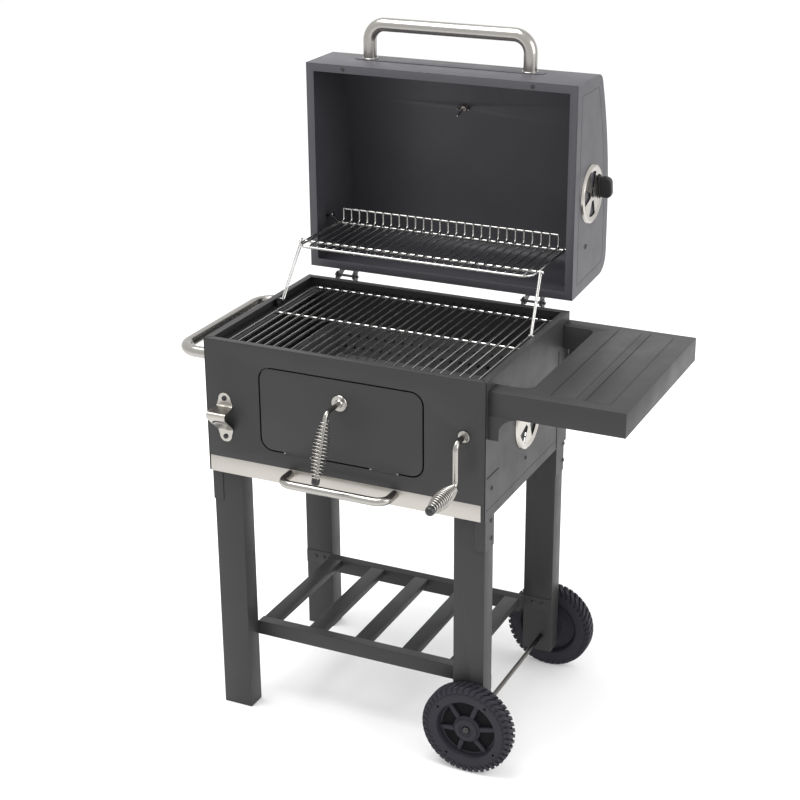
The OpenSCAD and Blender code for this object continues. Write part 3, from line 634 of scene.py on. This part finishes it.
def make_wheel(body, side):
    """A blown wheel: dished face, ribs, hub, ring line, pits and lugs. side is 1 at the front."""
    low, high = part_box(body)
    centre = (low + high) / 2
    width, bore = TYRE_WIDTH, AXLE_BORE
    face = [(bore, 5), (9, 5), (9.6, 3.6), (14.5, 3.2), (15.5, 1.6), (22, 1.4), (24.5, 2.6),
            (26, 6), (30, 8.5), (31, 17), (58, 17.5), (61.5, 15.5), (64.8, 4.2), (66.2, 1.6),
            (68, 0.9), (84.4, 0.5), (85.0, 1.9), (86.4, 2.2), (90, 2.8), (94.4, 4.2),
            (96.4, 6.6), (96.9, 9.5)]
    back = [(96.9, width - 9.5), (96.4, width - 6.6), (94.4, width - 4.2), (86, width - 0.6),
            (68, width - 0.8), (65, width - 3), (61, width - 13), (33, width - 13),
            (30, width - 12), (28, width - 3), (bore, width - 3)]
    start = centre - Vector((0, side * width / 2000, 0))
    tyre = turned(body + "_moulding", face + back, start, (0, side, 0), 96, 34)

    def mid(x, deep, z):
        return Vector((x, side * (deep - width / 2), z)) / 1000

    rib_side = [(29.5, 19), (29.5, 7), (58, 10.5), (65, 11), (65, 19)]
    verts = [mid(edge * (5.2 if d < 15 else 6.2), d, r)
             for edge in (-1, 1) for r, d in rib_side]
    ribs = grown(rounded(prism(body + "_ribs", verts), 0.0024, 3), "round", "wheel_plastic",
                 Count=sizes().ribs, Centre=centre, FirstAngle=0.35)
    # Near-black floors in the wells between the ribs and round the bore: painted shade.
    floor, well = [
        tinted(turned(body + "_painted_well_shade", [(inner, low), (outer, high), (outer, deep),
                                         (inner, deep)], start, (0, side, 0), sides), "recess")
        for inner, outer, low, high, deep, sides in ((30.6, 58.6, 15.6, 16.4, 17.8, 64),
                                                     (bore, 8.4, 4.4, 4.4, 5.6, 40))]
    pits, notches = [
        grown(turned(body + "_cuts", [(0, -1), (r, -1), (r, deep), (0, deep)], mid(0, 0, away),
                     (0, side, 0), sides), "round", "recess", Count=count, Centre=centre,
              FirstAngle=first)
        for r, deep, away, sides, count, first in ((2.9, 5, 76, 16, 4, 0.6),
                                                   (1.0, 2.2, 82.6, 6, sizes().lugs, 0.0))]
    tinted(cut_by(tyre, (pits, notches), 34), "wheel_plastic")
    lugs = [wheel_lug(f"{body}_lugs_{i}", centre, side, bool(i)) for i in (0, 1)]
    whole = joined(body + "_wheel", [tyre, ribs, floor, well, *lugs])
    placed(whole, body, "wheel_plastic", [body], "kept")


class GRILL_OT_wheels(Operator):
    """Moulded wheels with ribs, pits and a lugged tread, and the nuts on their axle"""
    bl_idname = "grill.wheels"
    bl_label = "Wheels"

    def execute(self, context):
        make_wheel("front_wheel", 1)
        make_wheel("rear_wheel", -1)
        ends = []
        for end, deep in ((-1, -24.2), (1, 490.2)):
            ends.append(turned("nut", [(0, -0.2), (8, -0.2), (8, 1.6), (6.9, 3.0), (4.2, 3.0),
                                       (3.8, 3.4), (0, 3.4)], at(290, deep, 101), (0, end, 0),
                               6, 20))
        placed(joined("axle_end_nuts", ends), "frame", "zinc_fastener", ["axle_nuts"],
               "hinge_black")
        return {"FINISHED"}


# ---------- Coil grips, rods and handles ----------


def coil(name, start, end, turns, end_r, mid_r, wire_r, body, hides):
    """A coil of wire round the line between two points."""
    ahead = end - start
    turn = Vector((0, 0, 1)).rotation_difference(ahead).to_euler()
    made = grown(piece(name, [start], []), "coil", "plated_rod", Turns=float(turns),
                 Length=ahead.length, EndRadius=end_r, MiddleRadius=mid_r, WireRadius=wire_r,
                 Start=start, Turn=tuple(turn))
    return placed(made, body, "plated_rod", hides)


def cap(name, start, ahead, profile, body, hides):
    made = turned(name, profile, start, ahead, 40, 50)
    return placed(made, body, "black_plastic", hides)


class GRILL_OT_front_grips(Operator):
    """Bent rods of the door and the crank, their coil grips, washers and caps"""
    bl_idname = "grill.front_grips"
    bl_label = "Door and crank grips"

    def execute(self, context):
        s = sizes()
        corners = [at(-3, 0, 780), at(-3, -59.4, 780), at(-3, -112, 648)]
        rod = swept("rod", filleted(corners, 0.014, 10), 0.005, 24)
        boss = turned("boss", [(0, 0), (17.5, 0), (17.5, 1.6), (16.6, 3), (9, 3.2), (7, 6.5),
                               (0, 6.5)], at(-3, 0, 780), (0, -1, 0), 40)
        placed(joined("door_handle_rod", [rod, boss]), "door", "polished_tube",
               ["door_handle"], "plated_rod")
        ahead = (corners[2] - corners[1]).normalized()
        bend = at(-3, -63, 771)
        coil("door_coil_grip", bend + ahead * 0.004, bend + ahead * 0.122, s.door_turns,
             0.0080, 0.0164, 0.0013, "door", ["door_grip"])
        cap("door_cap", bend + ahead * 0.122, ahead,
            [(5.02, 0), (7.6, 0), (8.5, 1.4), (8.5, 8.4), (7.6, 11.6), (5.4, 13.4), (2.6, 13.9),
             (0, 14), (0, 10.5), (5.02, 10.5)], "door", ["door_grip_cap"])

        low = 664
        line = [at(271, 455, 755), at(271, -42, 755), at(271, -42, low), at(271, -161, low)]
        rod = swept("rod", filleted(line, 0.015, 10), 0.006, 24)
        boss = turned("boss", [(6.02, 0.4), (12.5, 0.4), (12.5, 2.4), (11.4, 3.3), (8, 3.6),
                               (6.02, 4)], at(271, 0, 755), (0, -1, 0), 40)
        placed(joined("crank_rod", [rod, boss]), "crank", "plated_rod", ["crank"])
        coil("crank_coil_grip", at(271, -52, low), at(271, -155, low), s.crank_turns, 0.0078,
             0.0156, 0.0022, "crank", ["crank_grip"])
        cap("crank_end_cap", at(271, -155, low), (0, -1, 0),
            [(6.02, 0), (8, 0), (9.6, 2.6), (10, 6), (9.5, 10), (7.6, 13.6), (4.2, 15.6),
             (0, 16), (0, 6), (6.02, 6)], "crank", ["crank_cap"])
        return {"FINISHED"}


def bar_handle(name, start, end, reach, bend, radius, foot, foot_height, body, node):
    """A bent tube with a flange at each foot. reach is how far its grip stands off."""
    line = filleted([start, start + reach, end + reach, end], bend, 16)
    parts = [swept("tube", line, radius, 40)]
    for tip, inward in ((0, 1), (-1, -2)):
        ahead = (line[inward] - line[tip]).normalized()
        parts.append(turned("flange", [(0, 0), (foot, 0), (foot, foot_height * 0.6),
                                       (foot - 0.6, foot_height), (0, foot_height)],
                            line[tip], ahead, 40))
    return placed(joined(name, parts), body, "polished_tube", [node])


class GRILL_OT_tube_handles(Operator):
    """Tube handles of the lid, the left side and the ash drawer"""
    bl_idname = "grill.tube_handles"
    bl_label = "Tube handles"

    def execute(self, context):
        low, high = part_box("lid_handle")
        y = (low.y + high.y) / 2
        bar_handle("lid_tube_handle", Vector((low.x + 0.015, y, low.z)),
                   Vector((high.x - 0.015, y, low.z)), Vector((0, 0, high.z - 0.015 - low.z)),
                   0.038, 0.015, 18, 2, "lid", "lid_handle")
        bar_handle("side_tube_handle", at(-HALF, 48, 820), at(-HALF, 412, 820),
                   Vector((-0.093, 0, 0)), 0.05, 0.0125, 19, 3, "frame", "side_handle")
        bar_handle("drawer_tube_handle", at(-120, 0, 602), at(120, 0, 602),
                   Vector((0, -0.051, 0)), 0.035, 0.009, 9.6, 1, "drawer", "drawer_handle")
        return {"FINISHED"}


# ---------- Grate and warming rack ----------


class GRILL_OT_cooking_grate(Operator):
    """Welded bars of the cooking grate"""
    bl_idname = "grill.cooking_grate"
    bl_label = "Cooking grate"

    def execute(self, context):
        s = sizes()
        last = HALF - 36
        step = 2 * last / (s.bars - 1)
        parts = [wires("bars", [[at(-last, 22, 860), at(-last, 452, 860)]], s.bar, 0, 12,
                       s.bars, (step / 1000, 0.0, 0.0)),
                 wires("cross", [[at(-288, y, 855), at(288, y, 855)] for y in (45, 252, 440)],
                       0.003, 0, 12)]
        placed(joined("cooking_grate_bars", parts), "frame", "chrome_wire", ["cooking_grate"])
        return {"FINISHED"}


class GRILL_OT_warming_rack(Operator):
    """Wire warming rack with its rear fence, and its hairpin legs"""
    bl_idname = "grill.warming_rack"
    bl_label = "Warming rack"

    def execute(self, context):
        s = sizes()
        x, z, front, rear, top = 275, 985, 332, 537, 1017
        pitch = 2 * (x - 14) / (s.rack_wires - 1)
        rim = [at(-x, rear, z), at(-x, front, z), at(x, front, z), at(x, rear, z)]
        parts = [
            wires("rim", [rim], 0.003, 0.024, 14),
            wires("back", [[at(-x, rear, z), at(x, rear, z)],
                           [at(-x - 14, 373, z), at(x + 14, 373, z)]], 0.003, 0, 14),
            wires("fence", [[at(-x + 14, rear + 4, top), at(x - 14, rear + 4, top)]], 0.0025,
                  0, 12),
            wires("long", [[at(14 - x, front - 2, z + 4.6), at(14 - x, rear, z + 4.6),
                            at(14 - x, rear, top + 3)]], 0.002, 0.008, 10, s.rack_wires,
                  (pitch / 1000, 0.0, 0.0)),
        ]
        for side in (-1, 1):
            parts.append(wires("arm", [[at(side * x, rear, z), at(side * (x + 14), 546, 991),
                                        at(side * 299, 549, 993.2)]], 0.003, 0.01, 12))
            parts.append(turned("eye", [(3.05, -2.5), (6.4, -2.5), (7, -1.8), (7, 1.8),
                                        (6.4, 2.5), (3.05, 2.5)], at(side * 299, 555, 994),
                                (1, 0, 0), 28))
        placed(joined("warming_rack_wires", parts), "warming_rack", "chrome_wire",
               ["warming_rack"])
        legs = []
        for side in (-1, 1):
            high, low = at(side * 283, 373, 985), at(side * 293, 298, 870)
            along = (high - low).normalized()
            across = Vector((0, along.z, -along.y)).normalized()
            loop = [low + across * 0.004]
            for middle, r in ((high, 0.0048), (low, -0.004)):
                loop += [middle + across * r * math.cos(t) + along * r * math.sin(t)
                         for t in (math.pi * i / 8 for i in range(9))]
            loop.pop()
            legs.append(tinted(swept("leg", loop, 0.0016, 12, closed=True), "chrome_wire"))
        placed(joined("warming_rack_legs", legs), "rack_legs", "chrome_wire", ["rack_legs"])
        return {"FINISHED"}


# ---------- Vents ----------


def vent(name, centre, windows, angle):
    """A dished damper disc with wedge windows, and its grip."""
    body = name + "_damper"
    disc = turned(name + "_vent_disc", [
        (3.05, 3.6), (9, 3.8), (14, 4.4), (48, 3.4), (51, 3.7), (55.5, 5.6), (59.5, 6.0), (63, 4.0),
        (65, 0.2), (64.2, 0.1), (62, 3.0), (59, 5.0), (56, 4.6), (51, 2.7), (48, 2.4), (14, 3.4),
        (9, 2.8), (3.05, 2.6)], centre, (1, 0, 0), 96, 26)
    cutters = []
    for a in windows:
        low, high = a - CUT_HALF_ANGLE, a + CUT_HALF_ANGLE
        ring = arc(0, 0, 15, low, high, 4) + arc(0, 0, 49.5, high, low, 10)
        cutters.append(slab("window", [ring], 14,
                            lambda u, v, t: centre + Vector((t - 3, u, v)) / 1000))
    placed(cut_by(disc, cutters, 26), body, "stainless_sheet", [body], "dished_disc")

    turn = Matrix.Rotation(math.radians(angle), 4, "X")

    def knob_at(u, v, t):
        return centre + turn @ (Vector((5 + u, t, v)) / 1000)

    grip = slab("grip", [[(2.5, -23)] + arc(16, -11, 13, -90, 0, 8) + arc(16, 11, 13, 0, 90, 8)
                         + [(2.5, 23)]], 13, lambda u, v, t: knob_at(u, v, t + 34))
    plate = slab("plate", [[(0, -25), (3, -25), (3, 25), (0, 25)]], 17,
                 lambda u, v, t: knob_at(u, v, t + 32))
    scoop = slab("scoop", [[(8, -17), (24, -13)] + arc(17, 0, 9, -50, 50, 6)
                           + [(24, 13), (8, 17)]], 1.0, lambda u, v, t: knob_at(u, v, t + 46.6))
    parts = [tinted(smooth(rounded(p, w, 3), 40), "black_plastic")
             for p, w in ((grip, 0.0026), (plate, 0.001), (scoop, 0.0004))]
    placed(joined(name + "_vent_disc_knob", parts), body, "black_plastic", [body + "_knob"])


class GRILL_OT_vents(Operator):
    """Dished vent discs with wedge windows, their knobs and rivets"""
    bl_idname = "grill.vents"
    bl_label = "Vents"

    def execute(self, context):
        vent("lid", at(HALF + 0.4, 579, 1106), (90, 180, 270), 10)
        vent("firebox", at(HALF + 0.4, 224, 716), (135, 225, 315), 45)
        rivet = turned("firebox_vent_rivet", [(0, -3), (3, -3), (3, 6.2), (7, 6.2), (6.8, 7.6),
                                              (5.2, 8.8), (2.8, 9.2), (0, 9.2)],
                       at(HALF, 224, 716), (1, 0, 0), 32)
        placed(rivet, "frame", "zinc_fastener", ["vent_rivet"])
        return {"FINISHED"}


# ---------- Bottle opener and thermometer ----------


class GRILL_OT_bottle_opener(Operator):
    """Folded steel bottle opener with its two screws"""
    bl_idname = "grill.bottle_opener"
    bl_label = "Bottle opener"

    def execute(self, context):
        fold = filleted([Vector((u, v, 0)) for u, v in (
            (0, 57.2), (0, 27), (-39.4, 23.2), (-39.6, 12), (0, -25.8), (0, -53.2))], 5, 6)
        marks = [0.0]
        for a, b in zip(fold, fold[1:]):
            marks.append(marks[-1] + (b - a).length)
        total = marks[-1]

        def along(u):
            i = max(k for k, mark in enumerate(marks[:-1]) if mark < u)
            return fold[i].lerp(fold[i + 1], (u - marks[i]) / (marks[i + 1] - marks[i]))

        def half_width(u):
            edge = min(u, total - u)
            if edge < 14.5:
                return 14.5 * math.sqrt(max(0.0, 1 - (1 - edge / 14.5) ** 2))
            return 14.5 + 7.5 * min(1, (edge - 14.5) / 24)

        rows, cols = 120, 30
        verts, faces = [], []
        for i in range(rows + 1):
            u = 0.4 + (total - 0.8) * i / rows
            spot, w = along(u), half_width(u)
            verts += [at(-273 + w * (2 * k / cols - 1), spot.x - 1.1, 702 + spot.y)
                      for k in range(cols + 1)]
        hook = total * 0.565
        for i in range(rows):
            for k in range(cols):
                u = 0.4 + (total - 0.8) * (i + 0.5) / rows
                v = half_width(u) * (2 * (k + 0.5) / cols - 1)
                bow = u - hook - (v / 15) ** 2 * 9
                if abs(v) < 16 and abs(bow) < 3.8:
                    continue
                hole = min(abs(u - 12.2), abs(u - (total - 12.2)))
                if math.hypot(hole, v) < 2.6:
                    continue
                a = i * (cols + 1) + k
                faces.append((a, a + 1, a + cols + 2, a + cols + 1))
        plate = piece("opener_plate", verts, faces)
        with editing(plate) as form:
            loose = [v for v in form.verts if not v.link_faces]
            bmesh.ops.delete(form, geom=loose, context="VERTS")
            bmesh.ops.remove_doubles(form, verts=form.verts, dist=1e-5)
        solid = plate.modifiers.new("wall", "SOLIDIFY")
        solid.thickness, solid.offset = 0.0018, 0
        smoothing = plate.modifiers.new("smooth", "SUBSURF")
        smoothing.levels = smoothing.render_levels = 1
        parts = [tinted(smooth(baked(plate), 60), "stainless_sheet")]
        parts.append(screw_heads([at(-273, -2.6, 702 + z) for z in (45, -41)], 0.0056, 0.0032,
                                 (math.pi / 2, 0.0, 0.0)))
        placed(joined("bottle_opener_plate", parts), "frame", "stainless_sheet",
               ["bottle_opener"], "kept")
        return {"FINISHED"}


class GRILL_OT_thermometer(Operator):
    """Dial on the lid's roof, with the stem and wing nut that show inside the lid"""
    bl_idname = "grill.thermometer"
    bl_label = "Thermometer"

    def execute(self, context):
        roof, a = 830, math.radians(105.5)
        shut = Vector((-14, 330 + roof * math.cos(a), 877 + 216 - roof + roof * math.sin(a)))
        spot = at(shut.x, 480 + (shut.z - 879), 879 - (shut.y - 480))
        tilt = a - math.pi / 2
        out = Vector((0, math.cos(tilt), math.sin(tilt)))
        side = Vector((1, 0, 0))
        upwards = side.cross(out) * -1

        def round_part(name, profile, sides, angle=32, look="gauge_steel"):
            return tinted(turned(name, profile, spot, out, sides, angle), look)

        def mark(thick, lift, degrees, look, *corners):
            """A flat mark on the dial, its corners so far along and across a line."""
            c, s = math.cos(math.radians(degrees)), math.sin(math.radians(degrees))
            ring = [(c * r - s * w, s * r + c * w) for r, w in corners]
            return tinted(slab("mark", [ring], thick, lambda u, v, t: spot + side * (u / 1000)
                               + upwards * (v / 1000) + out * ((lift + t) / 1000)), look)

        parts = [
            round_part("case", [(0, 0), (31, 0), (31, 8.4), (30.2, 10.2), (28.6, 11),
                                (26.6, 10.8), (25.4, 9), (0, 8.6)], 72, 30),
            round_part("disc", [(0, 8.4), (25.2, 8.4), (25.2, 9.0), (0, 9.0)], 48, look="dial"),
            round_part("stem", [(0, -50), (1.6, -49.4), (2.2, -48), (2.2, 1), (0, 1)], 20),
            round_part("nut", [(2.2, -14), (6, -14), (7, -12), (8, -2), (2.2, -2)], 24)]
        for i in range(25):
            near, w = (20.0, 0.35) if i % 4 else (17.5, 0.7)
            parts.append(mark(0.25, 8.95, 225 - i * 270 / 24, "dial_red" if i > 19 else "recess",
                              (near, w), (near, -w), (23.4, -w), (23.4, w)))
        parts.append(mark(0.4, 9.6, 205, "recess", (18, 0), (-5, 1.4), (-5, -1.4)))
        parts.append(round_part("hub", [(0, 8.9), (2.6, 8.9), (2.4, 10.4), (0, 10.7)], 20))
        for hand in (-1, 1):
            wing = slab("wing", [[(hand * 6, 5), (hand * 9, 2), (hand * 17, -7),
                                  (hand * 16, -12), (hand * 12, -13), (hand * 6, -6)]], 2.0,
                        lambda u, v, d: spot + side * (u / 1000) + out * ((v - 6) / 1000)
                        + upwards * ((d - 1.0) / 1000))
            parts.append(tinted(smooth(rounded(wing, 0.0008, 2), 50), "gauge_steel"))
        placed(joined("dial_thermometer", parts), "lid", "gauge_steel", ["thermometer"], "kept")
        return {"FINISHED"}


# ---------- Sheet metal ----------


class GRILL_OT_sheet_metal(Operator):
    """Panels, legs, rails, slats, door, table and lid sheets with rounded folds and edges"""
    bl_idname = "grill.sheet_metal"
    bl_label = "Sheet metal"

    def execute(self, context):
        s = sizes()
        rows = ((s.fold, "front_left_leg rear_left_leg front_right_leg rear_right_leg"),
                (s.edge * 2, "shelf_slats"),
                (s.edge, "side_table shelf_front_rail shelf_rear_rail firebox_rim"),
                (s.edge * 0.6, "front_panel"), (s.edge, "front_door"),
                (s.edge * 0.6, "drawer_front"), (s.edge, "lid_rim lid_shell lid_handle_plate"))
        groups = frame["record"]["behaviour"]["bodies"]
        slots = {p["node"]: p["material_slot"] for p in frame["record"]["subparts"]}
        for width, nodes in rows:
            for node in nodes.split():
                body = next(b for b, ns in groups.items() if node in ns)
                placed(softened(node, width), body, slots[node], [node])
        return {"FINISHED"}


class GRILL_OT_seams(Operator):
    """Dark gaps where sheets meet, and painted shade along the pressed lines of the table and the
    right side
    """
    bl_idname = "grill.seams"
    bl_label = "Seams and pressed lines"

    def execute(self, context):
        corner = [[at(side * HALF, y0, 875), at(side * (HALF - 15), y1, 875)]
                  for side in (-1, 1) for y0, y1 in ((0, 15), (466, 451))]
        upright = [[at(side * (HALF - 0.3), 0.3, 577), at(side * (HALF - 0.3), 0.3, 873)]
                   for side in (-1, 1)]
        slits = [[at(HALF, 405, 577), at(HALF, 405, 803)], [at(HALF, 9, 668), at(HALF, 69, 668)]]
        # The side's fold line and the table's pressed lines are near-black wires of painted shade;
        # the table panels' left edges get thicker wires, painted shade on the side turned from the
        # right-hand light.
        fold = [[at(HALF, 4, 597), at(HALF, 400, 597)]]
        left = [[at(x, 43, 854), at(x, 449, 854)] for x in (434.6, 504.6)]
        rest = [[at(x, 449, 854), at(x + 50.8, 449, 854), at(x + 50.8, 42, 854), at(x, 42, 854)]
                for x in (434.6, 504.6)]
        parts = [wires(name, lines, radius, 0, 6, look="recess") for name, lines, radius in (
            ("mitres", corner, 0.0005), ("corners", upright, 0.0008), ("slits", slits, 0.0009),
            ("fold", fold, 0.0003), ("table_left_edge_shade", left, 0.0011), ("table_rest_edge_shade", rest, 0.0003))]
        placed(joined("dark_seams_and_painted_shade", parts), "frame", "powder_coat", look="kept")
        return {"FINISHED"}


class GRILL_OT_door_edges(Operator):
    """Edges folded in round the door and round its opening, coloured near-black as painted shade in
    the gaps
    """
    bl_idname = "grill.door_edges"
    bl_label = "Door edges"

    def execute(self, context):
        for name, body, w, h, r in (("opening_gap_shade", "frame", 377.4, 189.4, 30),
                                    ("door_gap_shade", "door", 367.6, 179.6, 25.4)):
            # Each ring is a near-black band set just behind the front: painted shade in the gap.
            ring = [round_box(w, h, r), round_box(w - 2.2, h - 2.2, r - 1.1)[::-1]]
            edge = slab(name, ring, 7, lambda u, v, t: at(u - 3, t + 1.6, v + 738.5))
            placed(edge, body, "powder_coat", look="recess")
        return {"FINISHED"}


class GRILL_OT_screws(Operator):
    """Domed screws of the legs, the firebox's sides and the shelf"""
    bl_idname = "grill.screws"
    bl_label = "Screws"

    def execute(self, context):
        rows = ((37, 637), (39, 564), (43, 523), (455, 569), (454, 529))
        shelf = [at(side * 280 + dx, 410.2, 184) for side in (-1, 1) for dx in (-10, 12)]
        groups = [([at(side * (HALF if z > 575 else 315.5), y, z) for y, z in rows], 0.005,
                   (0.0, side * math.pi / 2, 0.0)) for side in (-1, 1)]
        groups += [([at(HALF, 221, 629)], 0.0045, (0.0, math.pi / 2, 0.0)),
                   (shelf, 0.0045, (math.pi / 2, 0.0, 0.0))]
        parts = [screw_heads(spots, radius, 0.0024, facing) for spots, radius, facing in groups]
        placed(joined("body_screws", parts), "frame", "zinc_fastener", ["frame_screws"], "kept")
        return {"FINISHED"}


class GRILL_OT_finishes(Operator):
    """Finish of every CAD node that is shown as it is"""
    bl_idname = "grill.finishes"
    bl_label = "Finishes"

    def execute(self, context):
        for part in frame["record"]["subparts"]:
            mesh = NODES[part["node"]].data
            mesh.materials.clear()
            look = {"hinge_pins": "hinge_black", "lid_fasteners": "hinge_black",
                    "axle": "oiled_axle"}.get(part["node"])
            mesh.materials.append(FINISHES[look or part["material_slot"]])
        return {"FINISHED"}


# ---------- Stage ----------


def softbox(name, place, target, size, power):
    data = bpy.data.lights.new(name, "AREA")
    data.shape, data.size, data.size_y = "RECTANGLE", size[0], size[1]
    data.energy = power
    lamp = linked(name, data)
    lamp.location = place
    lamp.rotation_euler = (Vector(target) - Vector(place)).to_track_quat("-Z", "Y").to_euler()


class GRILL_OT_stage(Operator):
    """Pale floor, soft studio light and the camera"""
    bl_idname = "grill.stage"
    bl_label = "Stage"

    def execute(self, context):
        scene = context.scene
        scene.view_settings.view_transform = "Standard"
        floor = piece("studio_floor", [(-40, -40, 0), (40, -40, 0), (40, 40, 0), (-40, 40, 0)],
                      [(0, 1, 2, 3)])
        floor.data.materials.append(finish("pale_floor", (0.80, 0.80, 0.80),
                                           rough=(0.75, 0.9), vary=0.006, patch=1.5,
                                           grain=60, height=0.00001))
        tree = floor.data.materials[0].node_tree
        feed(tree, tree.nodes["Principled BSDF"], {"Emission Color": (1, 1, 1, 1),
                                                   "Emission Strength": 0.18})
        world = bpy.data.worlds.new("studio")
        scene.world = world
        world.use_nodes = True
        feed(world.node_tree, world.node_tree.nodes["Background"],
             {"Color": (1, 1, 1, 1), "Strength": WHITE_LEVEL})
        softbox("right softbox", (3.4, -0.2, 2.2), (0, 0, 0.8), (2.4, 2.6), 68)
        softbox("top softbox", (-0.9, -0.5, 4.2), (0.1, 0, 0.6), (2.6, 2.6), 150)
        lens = bpy.data.cameras.new("camera")
        lens.lens, lens.sensor_width = 79.1, 36
        camera = linked("camera", lens)
        roll = Matrix.Rotation(math.radians(CAMERA_ROLL), 3, "Z").to_quaternion()
        camera.rotation_mode = "QUATERNION"
        camera.rotation_quaternion = Vector(CAMERA_AHEAD).to_track_quat("-Z", "Y") @ roll
        camera.location = CAMERA_PLACE
        lens.clip_start, lens.clip_end = 0.05, 200
        scene.camera = camera
        return {"FINISHED"}


# ---------- Add-on ----------


class GRILL_PT_panel(Panel):
    """Lists the pieces of the grill"""
    bl_label = "Charcoal grill"
    bl_idname = "GRILL_PT_panel"
    bl_space_type = "VIEW_3D"
    bl_region_type = "UI"
    bl_category = "Grill"

    def draw(self, context):
        for group in (context.scene.grill_finish, context.scene.grill_sizes):
            box = self.layout.box()
            for key in group.__annotations__:
                box.prop(group, key)
        for operator in OPERATORS:
            self.layout.operator(operator.bl_idname)


OPERATORS = (GRILL_OT_finishes, GRILL_OT_sheet_metal, GRILL_OT_wheels, GRILL_OT_front_grips,
             GRILL_OT_tube_handles, GRILL_OT_cooking_grate, GRILL_OT_warming_rack, GRILL_OT_vents,
             GRILL_OT_bottle_opener, GRILL_OT_thermometer, GRILL_OT_seams,
             GRILL_OT_door_edges, GRILL_OT_screws, GRILL_OT_stage)
CLASSES = (GrillFinish, GrillSizes, *OPERATORS, GRILL_PT_panel)


def register():
    for cls in CLASSES:
        bpy.utils.register_class(cls)
    bpy.types.Scene.grill_finish = PointerProperty(type=GrillFinish)
    bpy.types.Scene.grill_sizes = PointerProperty(type=GrillSizes)


def unregister():
    del bpy.types.Scene.grill_sizes
    del bpy.types.Scene.grill_finish
    for cls in reversed(CLASSES):
        bpy.utils.unregister_class(cls)


def main():
    register()
    FINISHES.update(make_finishes())
    RECIPES.update(wires=wires_recipe(), round=round_recipe(), coil=coil_recipe(),
                   heads=heads_recipe())
    for operator in OPERATORS:
        group, name = operator.bl_idname.split(".")
        if getattr(getattr(bpy.ops, group), name)() != {"FINISHED"}:
            raise RuntimeError(operator.bl_label + " did not finish")


if __name__ == "__main__":
    main()
